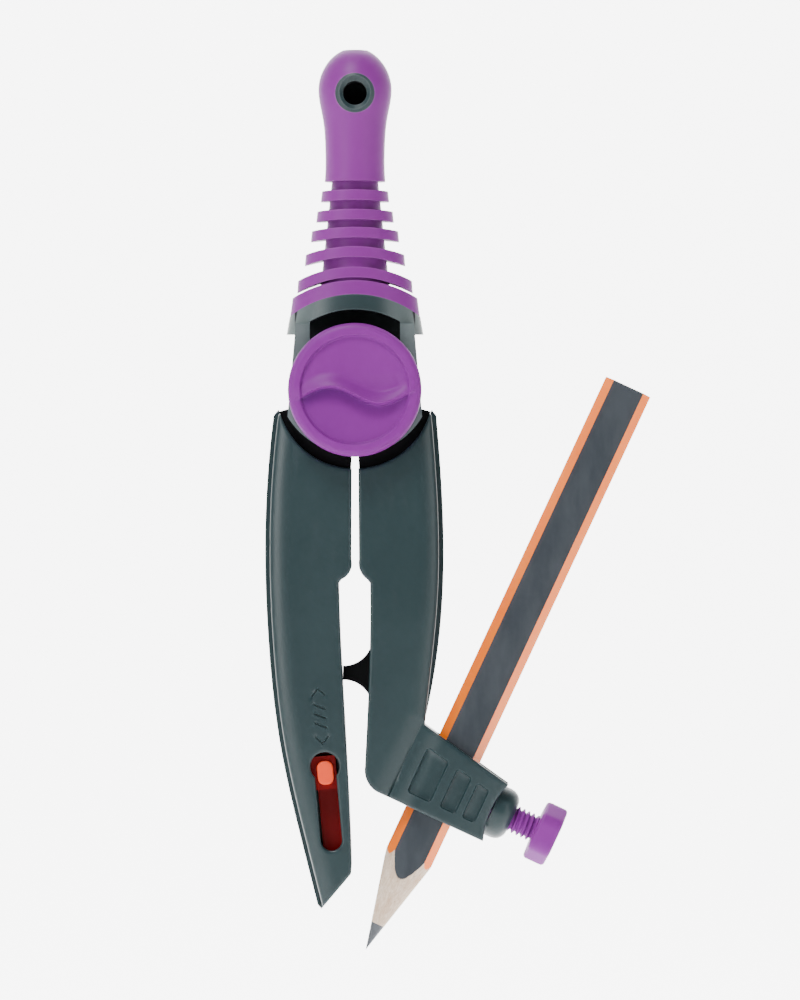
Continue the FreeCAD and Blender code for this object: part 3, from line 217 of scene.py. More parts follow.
def shade_under_wave(n, color, shade_color):
    """Paints shade into the knob's colour in the hollow under its wave-shaped ridge, stronger on the left."""
    x, _, z = n.split(n.mapped(location=(-HINGE.x, 0, -HINGE.z)))
    swing = n.math("MULTIPLY", n.math("SINE", n.math("MULTIPLY", x, WAVE_TURN)), WAVE_SWING)
    above = n.math("ADD", n.math("ADD", z, WAVE_LOW), swing)
    below = n.span(above, -0.25 * MM, 0.05 * MM, 1, 0)
    near = n.span(above, -2.8 * MM, -0.3 * MM, 0.22, 0.9)
    left = n.span(x, -7 * MM, 5 * MM, 1.0, 0.45)
    reach = n.math("SQRT", n.math("ADD", n.math("MULTIPLY", x, x), n.math("MULTIPLY", z, z)))
    within_step = n.span(reach, 7.2 * MM, 8.6 * MM, 1, 0)
    factor = n.math("MULTIPLY", n.math("MULTIPLY", below, near), n.math("MULTIPLY", left, within_step))
    return n.mix(factor, color, shade_color)


def steel(name, rough=0.26, color=(0.62, 0.63, 0.65, 1)):
    """Turned steel: fine lathe lines and a few stains."""
    n = Nodes(name)
    lines = n.noise(900, 3, 0.6, vector=n.mapped(scale=(6, 0.6, 6)))
    stain = n.noise(240, 5, 0.6)
    stained = (color[0] * 0.7, color[1] * 0.68, color[2] * 0.64, 1)
    shade = n.mix(n.span(stain, 0.45, 0.7, 0, 0.4), color, stained)
    roughness = n.span(lines, 0.3, 0.7, rough - 0.06, rough + 0.12)
    return n.finish(shade, roughness, n.bump(lines, 0.004 * MM, 0.5), Metallic=1.0)


# ---- camera, light and stage ----

def make_stage():
    """Straight-on camera, pale floor that curves up behind, and soft studio light."""
    view_height = 144.6 * MM
    distance = 0.95
    camera = bpy.data.cameras.new("camera")
    camera.sensor_fit = "AUTO"
    camera.sensor_width = 36.0
    camera.lens = 36.0 * distance / view_height
    camera.clip_start = 0.05
    camera.clip_end = 20.0
    holder = bpy.data.objects.new("camera", camera)
    holder.location = (6.5 * MM, -distance, HINGE.z - 15.8 * MM)
    holder.rotation_euler = (math.radians(90), 0, 0)
    bpy.context.scene.collection.objects.link(holder)
    bpy.context.scene.camera = holder

    # the compass is held up, with room below for the pencil pushed right down
    floor_z = cad_box[0][2] - 24 * MM
    reach, back, bend, top = 3.0, 0.10, 0.22, 1.2
    profile = [(-reach, 0.0), (back, 0.0)]
    for turn in np.linspace(0.1, math.pi / 2, 14):
        profile.append((back + bend * math.sin(turn), bend - bend * math.cos(turn)))
    profile.append((back + bend, top))
    mesh = bpy.data.meshes.new("sweep")
    verts = [(x, y, floor_z + z) for y, z in profile for x in (-reach, reach)]
    faces = [(2 * i, 2 * i + 1, 2 * i + 3, 2 * i + 2) for i in range(len(profile) - 1)]
    mesh.from_pydata(verts, [], faces)
    for polygon in mesh.polygons:
        polygon.use_smooth = True
    sweep = bpy.data.objects.new("sweep", mesh)
    bpy.context.scene.collection.objects.link(sweep)
    n = Nodes("sweep_paper")
    x, y, _ = n.split(n.coords)
    depth = n.math("MULTIPLY", n.span(y, -0.06, 0.11, 0.55, BACKDROP), n.span(y, -0.28, -0.20))
    side = n.span(n.math("ABSOLUTE", x), 0.12, 0.24, 1.0, 0.18)
    n.link(n.math("MULTIPLY", depth, side), n.shader.inputs["Emission Strength"])
    n.shader.inputs["Emission Color"].default_value = (1, 1, 1, 1)
    n.finish((0.9, 0.9, 0.9, 1), 0.9)
    # the paper shows from its front only, so that the part can be seen from behind
    clear = n.add("ShaderNodeBsdfTransparent")
    one_sided = n.add("ShaderNodeMixShader")
    n.link(n.add("ShaderNodeNewGeometry").outputs["Backfacing"], one_sided.inputs[0])
    n.link(n.shader.outputs[0], one_sided.inputs[1])
    n.link(clear.outputs[0], one_sided.inputs[2])
    n.link(one_sided.outputs[0], n.tree.nodes["Material Output"].inputs["Surface"])
    mesh.materials.append(n.material)

    world = bpy.data.worlds.new("studio")
    world.use_nodes = True
    world.node_tree.nodes["Background"].inputs["Color"].default_value = (1, 1, 1, 1)
    world.node_tree.nodes["Background"].inputs["Strength"].default_value = WORLD
    bpy.context.scene.world = world

    # name, place, size in metres, watts
    lamps = (
        ("soft_top", (-0.16, -0.36, 0.55), (0.22, 0.2), 4.4),
        ("strip_left", (-0.52, -0.56, 0.06), (0.06, 0.6), 2.6),
        ("strip_right", (0.54, -0.54, 0.06), (0.06, 0.6), 1.2),
    )
    target = Vector((0, 0, HINGE.z - 20 * MM))
    for name, place, (wide, tall), watts in lamps:
        light = bpy.data.lights.new(name, "AREA")
        light.shape = "RECTANGLE"
        light.size, light.size_y = wide, tall
        light.energy = watts
        lamp = bpy.data.objects.new(name, light)
        lamp.location = place
        lamp.rotation_euler = (target - Vector(place)).to_track_quat("-Z", "Y").to_euler()
        bpy.context.scene.collection.objects.link(lamp)


# ---- mesh helpers ----

def new_object(name, verts, faces, material, body, replaced, sharp):
    """A mesh piece that rides on a body and stands for a CAD node."""
    mesh = bpy.data.meshes.new(name)
    mesh.from_pydata([tuple(v) for v in verts], [], faces)
    mesh.validate()
    work = bmesh.new()
    work.from_mesh(mesh)
    bmesh.ops.remove_doubles(work, verts=work.verts, dist=1e-7)
    bmesh.ops.recalc_face_normals(work, faces=work.faces)
    work.to_mesh(mesh)
    work.free()
    for polygon in mesh.polygons:
        polygon.use_smooth = True
    mesh.set_sharp_from_angle(angle=math.radians(sharp))
    mesh.materials.append(material)
    piece = bpy.data.objects.new(name, mesh)
    bpy.context.scene.collection.objects.link(piece)
    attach(piece, body)
    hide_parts(*replaced)
    return piece


def turned(profile, count):
    """Vertices and faces of a closed solid turned about +Z from (radius, height), both ends on the axis."""
    verts = [(0.0, 0.0, profile[0][1])]
    for radius, height in profile[1:-1]:
        for i in range(count):
            angle = 2 * math.pi * i / count
            verts.append((radius * math.cos(angle), radius * math.sin(angle), height))
    verts.append((0.0, 0.0, profile[-1][1]))
    faces = []
    rings = len(profile) - 2
    for i in range(count):
        j = (i + 1) % count
        faces.append((0, 1 + j, 1 + i))
        for ring in range(rings - 1):
            a, b = 1 + ring * count, 1 + (ring + 1) * count
            faces.append((a + i, a + j, b + j, b + i))
        last = 1 + (rings - 1) * count
        faces.append((last + i, last + j, len(verts) - 1))
    return verts, faces


def smoothstep(low, high, value):
    t = np.clip((value - low) / (high - low), 0, 1)
    return t * t * (3 - 2 * t)


# ---- lock knob ----

def make_knob(material):
    """Knob with a rounded rim, a stepped dish and a wave-shaped finger ridge, as one height field."""
    back, front = -knob_high.y, -knob_low.y
    ridge_rise = 1.6 * MM
    rim = front - ridge_rise
    radius, edge = KNOB_RADIUS, 1.0 * MM
    step, dish = 7.6 * MM, 0.55 * MM

    inset = 0.05 * MM  # keeps the ridge inside the CAD knob

    def height(x, z):
        r = np.hypot(x, z)
        base = rim - dish * (1 - smoothstep(step, step + 0.35 * MM, r))
        base = base - 0.10 * MM * (1 - smoothstep(0, step, r))
        above = z + WAVE_LOW + WAVE_SWING * np.sin(x * WAVE_TURN)
        fade = np.clip(1 - (r / (radius - 0.5 * MM)) ** 2, 0, 1)
        lower = smoothstep(-0.28 * MM, 0.22 * MM, above)
        run = (1.7 + 0.5 * (1 - smoothstep(-6 * MM, 6 * MM, x))) * MM
        upper = 1 - smoothstep(-0.15, 1, (above - 0.3 * MM) / run)
        raised = np.where(above < 0.3 * MM, lower, upper)
        inside_step = 1 - smoothstep(step - 1.5 * MM, step, r)
        scoop = 0.22 * MM * smoothstep(-3.5 * MM, 0, above) * (1 - smoothstep(-0.28 * MM, 0.2 * MM, above))
        scoop += 0.25 * MM * smoothstep(0, 4 * MM, x) * smoothstep(1.2 * MM, 2.0 * MM, above) * (
            1 - smoothstep(2.2 * MM, 4.5 * MM, above))
        return base + (ridge_rise - inset) * raised * fade - scoop * inside_step

    radii = list(np.linspace(0, radius - edge, 88)[1:])
    count = 256
    angles = np.linspace(0, 2 * math.pi, count, endpoint=False)
    verts = [(HINGE.x, -float(height(np.array(0.0), np.array(0.0))), HINGE.z)]
    for r in radii:
        x, z = r * np.cos(angles), r * np.sin(angles)
        forward = height(x, z)
        verts += [(HINGE.x + a, -f, HINGE.z + b) for a, b, f in zip(x, z, forward)]
    outline = []
    for turn in np.linspace(0, math.pi / 2, 9)[1:]:
        outline.append((radius - edge + edge * math.sin(turn), rim - edge + edge * math.cos(turn)))
    outline += [(radius, back + 0.4 * MM), (radius - 0.35 * MM, back), (radius - 2.5 * MM, back)]
    for r, forward in outline:
        verts += [(HINGE.x + r * math.cos(a), -forward, HINGE.z + r * math.sin(a)) for a in angles]
    verts.append((HINGE.x, -back, HINGE.z))
    rings = len(radii) + len(outline)
    faces = [(0, 1 + i, 1 + (i + 1) % count) for i in range(count)]
    for ring in range(rings - 1):
        a, b = 1 + ring * count, 1 + (ring + 1) * count
        faces += [(a + i, b + i, b + (i + 1) % count, a + (i + 1) % count) for i in range(count)]
    last = 1 + (rings - 1) * count
    faces += [(last + i, len(verts) - 1, last + (i + 1) % count) for i in range(count)]
    new_object("knob_cap", verts, faces, material, "lock_knob", ["lock_knob"], 55)


# ---- clamp screw ----

def make_screw(material):
    """Thumb screw with a true helical thread and a six-sided head with rounded corners."""
    corners = [Vector(v.co) - CLAMP for v in nodes["clamp_screw"].data.vertices]
    along = [c.dot(SCREW_AXIS) for c in corners]
    start, end = min(along), max(along)
    head_thick, thread_r, pitch, deep = 3.3 * MM, 2.0 * MM, 0.75 * MM, 0.42 * MM
    head_start = end - head_thick
    nose_r = 1.2 * MM
    across = Vector((0, 1, 0))
    side = SCREW_AXIS.cross(across)
    count = 64
    nose_end = start + 0.8 * MM
    steps = int((head_start - nose_end) / (pitch / 14))

    def ring(radius_of, distance):
        points = []
        for i in range(count):
            angle = 2 * math.pi * i / count
            outward = across * math.cos(angle) + side * math.sin(angle)
            points.append(CLAMP + SCREW_AXIS * distance + outward * radius_of(angle))
        return points

    def thread_radius(distance):
        def radius(angle):
            phase = ((distance - nose_end) / pitch - angle / (2 * math.pi)) % 1.0
            tooth = float(np.interp(phase, (0.0, 0.12, 0.42, 0.62, 0.92, 1.0), (0, 0, 1, 1, 0, 0)))
            fade = min(1.0, (distance - nose_end) / pitch)
            return thread_r - deep + deep * tooth * fade
        return radius

    def head_radius(shrink):
        flat = 4.7 * MM * math.cos(math.pi / 6)
        def radius(angle):
            local = (angle + math.pi / 2) % (math.pi / 3) - math.pi / 6
            return min(flat / math.cos(local), 4.42 * MM) - shrink
        return radius

    rings = [ring(lambda a: nose_r - 0.2 * MM, start), ring(lambda a: nose_r, start + 0.2 * MM),
             ring(lambda a: nose_r, nose_end - 0.02 * MM)]
    for k in range(steps + 1):
        distance = nose_end + (head_start - nose_end) * k / steps
        rings.append(ring(thread_radius(distance), distance))
    rounding = 0.55 * MM
    rings.append(ring(head_radius(rounding), head_start))
    for turn in np.linspace(0.25, math.pi / 2, 5):
        up = rounding * (1 - math.cos(turn))
        rings.append(ring(head_radius(rounding * (1 - math.sin(turn))), head_start + up))
    for turn in np.linspace(0, math.pi / 2, 6):
        down = rounding * (1 - math.sin(turn))
        rings.append(ring(head_radius(rounding * (1 - math.cos(turn))), end - down))
    dimple = end - 0.35 * MM
    rings.append(ring(lambda a: 2.4 * MM, end))
    rings.append(ring(lambda a: 2.1 * MM, dimple))
    verts = [CLAMP + SCREW_AXIS * start] + [p for r in rings for p in r] + [CLAMP + SCREW_AXIS * dimple]
    faces = [(0, 1 + (i + 1) % count, 1 + i) for i in range(count)]
    for k in range(len(rings) - 1):
        a, b = 1 + k * count, 1 + (k + 1) * count
        faces += [(a + i, a + (i + 1) % count, b + (i + 1) % count, b + i) for i in range(count)]
    last = 1 + (len(rings) - 1) * count
    faces += [(last + i, last + (i + 1) % count, len(verts) - 1) for i in range(count)]
    new_object("thumb_screw", verts, faces, material, "clamp_screw", ["clamp_screw"], 40)


# ---- leg shells ----

def chained(pairs):
    """Closed loops made of (start, end) pairs of points."""
    following = {}
    for start, end in pairs:
        following.setdefault(start, []).append(end)
    loops = []
    while following:
        first = next(iter(following))
        loop, here = [first], first
        while here in following:
            onward = following[here].pop()
            if not following[here]:
                del following[here]
            if onward == first:
                break
            loop.append(onward)
            here = onward
        loops.append(loop)
    return loops


def flat_loops(mesh, forward):
    """Boundary loops, as (x, z) in millimetres, of a node's flat region this far forward."""
    key = {v.index: (round(v.co.x / MM, 3), round(v.co.z / MM, 3)) for v in mesh.vertices}
    edges = {}
    for face in mesh.polygons:
        if any(abs(-mesh.vertices[i].co.y / MM - forward) > 0.02 for i in face.vertices):
            continue
        ring = list(face.vertices)
        for start, end in zip(ring, ring[1:] + ring[:1]):
            pair = (key[start], key[end])
            if pair[0] != pair[1] and edges.pop((pair[1], pair[0]), None) is None:
                edges[pair] = True
    return chained(edges)


def section_loops(mesh, forward):
    """Outlines, as (x, z) in millimetres, where a node is cut across this far forward."""
    work = bmesh.new()
    work.from_mesh(mesh)
    bmesh.ops.remove_doubles(work, verts=work.verts, dist=1e-7)
    everything = work.verts[:] + work.edges[:] + work.faces[:]
    found = bmesh.ops.bisect_plane(work, geom=everything, plane_co=(0, -forward * MM, 0), plane_no=(0, 1, 0),
                                   dist=1e-8)
    edges = [e for e in found["geom_cut"] if isinstance(e, bmesh.types.BMEdge)]
    links = {}
    for edge in edges:
        p, q = edge.verts
        links.setdefault(p, []).append(q)
        links.setdefault(q, []).append(p)
    loops = []
    while links:
        first = next(iter(links))
        loop, here, before = [first], first, None
        while True:
            onward = [v for v in links[here] if v is not before and v in links and v is not here]
            step = next((v for v in onward if v not in loop), None)
            if step is None:
                break
            loop.append(step)
            before, here = here, step
        for v in loop:
            links.pop(v, None)
        if len(loop) > 2:
            loops.append([(v.co.x / MM, v.co.z / MM) for v in loop])
    work.free()
    return [loop if loop_area(loop) > 0 else loop[::-1] for loop in loops]


def evenly(loop, spacing):
    """The same closed loop with no side longer than spacing."""
    dense = []
    for (ax, az), (bx, bz) in zip(loop, loop[1:] + loop[:1]):
        steps = max(1, int(math.hypot(bx - ax, bz - az) / spacing))
        dense += [(ax + (bx - ax) * k / steps, az + (bz - az) * k / steps) for k in range(steps)]
    return dense


def loop_area(loop):
    return sum(ax * bz - bx * az for (ax, az), (bx, bz) in zip(loop, loop[1:] + loop[:1])) / 2


def distance_to(points, lines):
    """Distance of each point from the nearest of many short segments, all in millimetres."""
    best = np.full(len(points), 1e9)
    for (ax, az), (bx, bz) in lines:
        step = np.array((bx - ax, bz - az))
        span = float(step @ step) or 1e-12
        t = np.clip(((points[:, 0] - ax) * step[0] + (points[:, 1] - az) * step[1]) / span, 0, 1)
        away = np.hypot(points[:, 0] - ax - t * step[0], points[:, 1] - az - t * step[1])
        best = np.minimum(best, away)
    return best


def inside(points, loop):
    """Which points lie inside a closed loop."""
    result = np.zeros(len(points), bool)
    x, z = points[:, 0], points[:, 1]
    for (ax, az), (bx, bz) in zip(loop, loop[1:] + loop[:1]):
        if az == bz:
            continue
        crosses = (az > z) != (bz > z)
        result ^= crosses & (x < (bx - ax) * (z - az) / (bz - az) + ax)
    return result


def sides(loop):
    return list(zip(loop, loop[1:] + loop[:1]))


def offset_ring(loop, reach):
    """Points standing inside a closed loop by reach."""
    turn = 1.0 if loop_area(loop) > 0 else -1.0
    ring = []
    for i, (x, z) in enumerate(loop):
        bx, bz = loop[i - 1]
        ax, az = loop[(i + 1) % len(loop)]
        tx, tz = ax - bx, az - bz
        long = math.hypot(tx, tz) or 1e-9
        ring.append((x - turn * tz / long * reach, z + turn * tx / long * reach))
    return ring


def within(points, loops):
    """Which points lie inside any of the loops."""
    result = np.zeros(len(points), bool)
    for loop in loops:
        result |= inside(points, loop)
    return result


def shell_mesh(outline, holes, recesses, creases, height, back):
    """A moulded shell over an outline; height and back give its front and back surfaces.

    Outlines are in millimetres. Recesses and creases only put edges where a surface turns.
    """
    spacing = 0.42
    rims = sides(outline) + [s for h in holes for s in sides(h)]
    xs, zs = [p[0] for p in outline], [p[1] for p in outline]
    columns, rows = np.arange(min(xs), max(xs), spacing), np.arange(min(zs), max(zs), spacing)
    grid = np.array([(x + (spacing / 2 if row % 2 else 0), z) for row, z in enumerate(rows) for x in columns])
    grid = grid[inside(grid, outline) & ~within(grid, holes)]
    rings = []
    for loop in [outline] + holes:
        sign = 1 if loop is outline else -1
        for reach in (0.1, 0.22, 0.4):
            rings.append(np.array(offset_ring(loop, sign * reach)))
    fine = []
    for loop in recesses:
        fine += [loop, offset_ring(loop, 0.09), offset_ring(loop, 0.22)]
    rings += [np.array(ring) for ring in fine]
    cloud = np.vstack(rings)
    cloud = cloud[inside(cloud, outline) & ~within(cloud, holes)]
    cloud = cloud[distance_to(cloud, rims) > 0.08]
    busy = rims + [s for ring in fine for s in sides(ring)]
    grid = grid[distance_to(grid, busy) > 0.3]
    verts2, edges2 = [], []
    for loop in [outline] + holes:
        first = len(verts2)
        verts2 += loop
        edges2 += [(first + i, first + (i + 1) % len(loop)) for i in range(len(loop))]
    for a, b in creases:
        edges2.append((len(verts2), len(verts2) + 1))
        verts2 += [a, b]
    verts2 += [tuple(p) for p in cloud] + [tuple(p) for p in grid]
    found = delaunay_2d_cdt([Vector(v) for v in verts2], edges2, [], 0, 1e-5)
    points = np.array([(v.x, v.y) for v in found[0]])
    middles = np.array([points[list(f)].mean(axis=0) for f in found[2]])
    keep = inside(middles, outline) & ~within(middles, holes)
    faces = [list(f) for f, kept in zip(found[2], keep) if kept]
    front, rear = height(points), back(points)
    verts = [(x * MM, -f * MM, z * MM) for (x, z), f in zip(points, front)]
    count = len(verts)
    verts += [(x * MM, -f * MM, z * MM) for (x, z), f in zip(points, rear)]
    rim = {(a, b) for face in faces for a, b in zip(face, face[1:] + face[:1])}
    walls = [(a, a + count, b + count, b) for a, b in rim if (b, a) not in rim]
    bottoms = [[v + count for v in face][::-1] for face in faces]
    used = sorted({v for face in faces + walls + bottoms for v in face})
    order = {v: i for i, v in enumerate(used)}
    faces = [[order[v] for v in face] for face in faces + walls + bottoms]
    return [verts[v] for v in used], faces


def shoulder(distance, wide, drop):
    """How far a broad, even shoulder falls below the face at a distance from its edge."""
    return drop * np.clip(1 - distance / wide, 0, 1) ** 2


def bullnose(distance, wide, drop):
    """How far a tight rounded edge falls below the face at a distance from it."""
    t = np.clip(1 - distance / wide, 0, 1)
    return drop * (1 - np.sqrt(np.clip(1 - t * t, 0, 1)))


def recessed(points, loops, depth, run):
    """Depth of shallow recesses whose walls slope over a short run."""
    fall = np.zeros(len(points))
    for loop in loops:
        into = inside(points, loop)
        away = distance_to(points, sides(loop))
        fall = np.maximum(fall, np.where(into, depth * smoothstep(0.0, run, away), 0.0))
    return fall


def outer_sides(pairs, side):
    """The sides of an outline that face outwards from the middle."""
    kept = []
    for a, b in pairs:
        dx, dz = b[0] - a[0], b[1] - a[1]
        if abs(dz) > 0.35 * math.hypot(dx, dz) and dz * side > 0:
            kept.append((a, b))
    return kept


def shell_faces(name, front):
    """A front shell's outline, the holes in its flat front, and how far forward its parting face is."""
    mesh = nodes[name].data
    outline = max(section_loops(mesh, front - 1), key=loop_area)
    holes = [loop for loop in flat_loops(mesh, front) if loop_area(loop) < -0.3]
    return outline, holes, -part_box(name)[1].y / MM


def close_cradle(outline):
    """Brings a shell's top against the frame's crescent, so that no light shows between them."""
    gap, cradle_reach = 0.14, 11.6
    closed = []
    for x, z in outline:
        dx, dz = x - HINGE.x / MM, z - HINGE.z / MM
        radius = math.hypot(dx, dz)
        shrink = (radius - gap) / radius if radius < cradle_reach else 1.0
        closed.append((HINGE.x / MM + dx * shrink, HINGE.z / MM + dz * shrink))
    return closed


def make_left_shell(material):
    front = 4.5
    outline, holes, split = shell_faces("left_front_shell", front)
    outline = close_cradle(evenly(outline, 0.4))
    slots = [evenly(h, 0.3) for h in holes if loop_area(h) < -10]
    marks = [evenly(h, 0.3)[::-1] for h in holes if loop_area(h) >= -10]
    outer = outer_sides(sides(outline), -1)
    inner = [pair for pair in sides(outline) if pair not in outer]
    slot_sides = [s for h in slots for s in sides(h)]
    lean = SLOT_LEAN

    def local(points):
        dx, dz = points[:, 0] - BUTTON.x / MM, points[:, 1] - BUTTON.z / MM
        return dx * math.cos(lean) - dz * math.sin(lean), dx * math.sin(lean) + dz * math.cos(lean)

    def height(points):
        edge = distance_to(points, outer)
        rise = front - shoulder(edge, 3.0, 0.85) - bullnose(edge, 0.4, 0.3)
        rise -= bullnose(distance_to(points, inner), 0.4, 0.28)
        rise -= bullnose(distance_to(points, slot_sides), 0.4, 0.22)
        return rise - recessed(points, marks, 0.26, 0.1)

    needle_side, needle_half, needle_roof = -2.09, 0.62, 1.56  # groove for the needle
    # room for the carrier
    slide_left, slide_right, slide_foot, slide_head, slide_roof = -3.1, 1.9, -12.5, 3.5, 3.34

    def back(points):
        across, up = local(points)
        beside = (across > slide_left) & (across < slide_right)
        low = np.full(len(points), split)
        low[(abs(across - needle_side) < needle_half) & (up < slide_head)] = needle_roof
        low[beside & (up > slide_foot) & (up < slide_head)] = slide_roof
        return low

    verts, faces = shell_mesh(outline, slots, marks, [], height, back)
    new_object("left_shell_face", verts, faces, material, "left_leg", ["left_front_shell"],
               38)


def make_right_shell(material):
    front = 4.5
    outline, _, split = shell_faces("right_front_shell", front)
    turn = CLAMP_LEAN
    cx, cz = CLAMP.x / MM, CLAMP.z / MM

    def local(points):
        """Up the pencil and out along the screw, from their crossing."""
        dx, dz = points[:, 0] - cx, points[:, 1] - cz
        return dx * math.sin(turn) + dz * math.cos(turn), dx * math.cos(turn) - dz * math.sin(turn)

    def place(up, out):
        x = cx + up * math.sin(turn) + out * math.cos(turn)
        return x, cz + up * math.cos(turn) - out * math.sin(turn)

    top = -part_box("right_front_shell")[0].y / MM
    pockets = [evenly(loop[::-1], 0.25) for loop in flat_loops(nodes["right_front_shell"].data, top)
               if -40 < loop_area(loop) < -5]
    low, high_in, end, saddle = -4.65, 7.05, 8.6, -6.5  # ends of the clamp's foot, its end, its root
    hollow, half_wide = 0.85, 4.5
    hollowed = []
    for x, z in evenly(outline, 0.4):
        up, out = (float(v[0]) for v in local(np.array([(x, z)])))
        if out > end - 0.1:
            x, z = place(up, end - hollow * max(0.0, 1 - (up / half_wide) ** 2))
        hollowed.append((x, z))
    outline = close_cradle(hollowed)
    rims = sides(outline)
    leg_rims = [pair for pair in rims if local(np.array([pair[0]]))[1][0] < saddle + 0.6]
    root = (place(high_in, saddle), place(low, saddle))
    outer = outer_sides(leg_rims, 1) + [root]
    drop, crown = 0.8, top - 0.15

    def height(points):
        _, out = local(points)
        leg = front - shoulder(distance_to(points, outer), 3.0, drop)
        clamp_face = front - drop + (crown - front + drop) * smoothstep(saddle, -1.5, out)
        clamp_face -= 0.012 * np.maximum(out - 2, 0) ** 2
        rise = np.where(out > saddle, clamp_face, leg)
        rise -= bullnose(distance_to(points, rims), 0.4, 0.28)
        return rise - recessed(points, pockets, 0.5, 0.3)

    channel, run_in, roof = -3.79, 1.4, 2.99  # edge of the pencil's channel, its slope and its roof

    def back(points):
        _, out = local(points)
        return split + (roof - split) * smoothstep(channel - run_in, channel, out)

    verts, faces = shell_mesh(outline, [], pockets, [root], height, back)
    new_object("right_shell_face", verts, faces, material, "right_leg", ["right_front_shell"],
               38)


def make_boss(material):
    """Domed boss whose foot meets the clamp's hollowed end."""
    profile = [(0, 7.9), (3.2, 7.9), (3.85, 7.95), (3.85, 9.3), (3.76, 9.9), (3.5, 10.45), (3.1, 10.85),
               (2.75, 11.05), (2.45, 11.15), (2.2, 11.15), (2.1, 11.0), (2.1, 10.4), (0, 10.4)]
    verts, faces = turned(profile, 72)
    side = SCREW_AXIS.cross(Vector((0, 1, 0)))
    placed = [CLAMP + (SCREW_AXIS * z + Vector((0, 1, 0)) * x + side * y) * MM for x, y, z in verts]
    new_object("boss_dome", placed, faces, material, "right_leg", ["clamp_boss"], 30)


# ---- CAD nodes with their own materials ----

def dress(material, *names):
    """Gives CAD nodes one material."""
    for name in names:
        node = nodes[name]
        node.data.materials.clear()
        node.data.materials.append(material)


make_stage()

purple = moulded(
    "grip_purple", (0.20, 0.019, 0.235, 1), (0.34, 0.09, 0.38, 1), rough=0.45, Specular_IOR_Level=0.25)
# wave= is the dark purple of the painted shade under the knob's finger ridge
knob_purple = moulded(
    "knob_purple", (0.20, 0.018, 0.245, 1), (0.30, 0.06, 0.36, 1), rough=0.45, wear_and_highlight=0.2,
    Specular_IOR_Level=0.2, wave=(0.10, 0.006, 0.15, 1))
# the legs' paler edges stand partly for the highlights along them, as well as rubbing
shell_grey = moulded(
    "shell_grey", (0.010, 0.027, 0.031, 1), (0.045, 0.075, 0.080, 1), rough=0.33, grain=0.014, wear_and_highlight=0.5)
black = moulded("frame_black", (0.002, 0.002, 0.003, 1), (0.01, 0.011, 0.012, 1), rough=0.5, wear_and_highlight=0.1,
               Specular_IOR_Level=0.12)
dark_red = moulded("guide_red", (0.20, 0.003, 0.004, 1), (0.28, 0.01, 0.01, 1), rough=0.4, wear_and_highlight=0.1,
                  Specular_IOR_Level=0.15)
orange = moulded(
    "button_orange", (0.85, 0.06, 0.012, 1), (1.0, 0.18, 0.07, 1), rough=0.35, wear_and_highlight=0.2,
    Specular_IOR_Level=0.3)
steel_plain = steel("steel_plain")
brass = steel("brass_plain", 0.3, (0.72, 0.52, 0.22, 1))


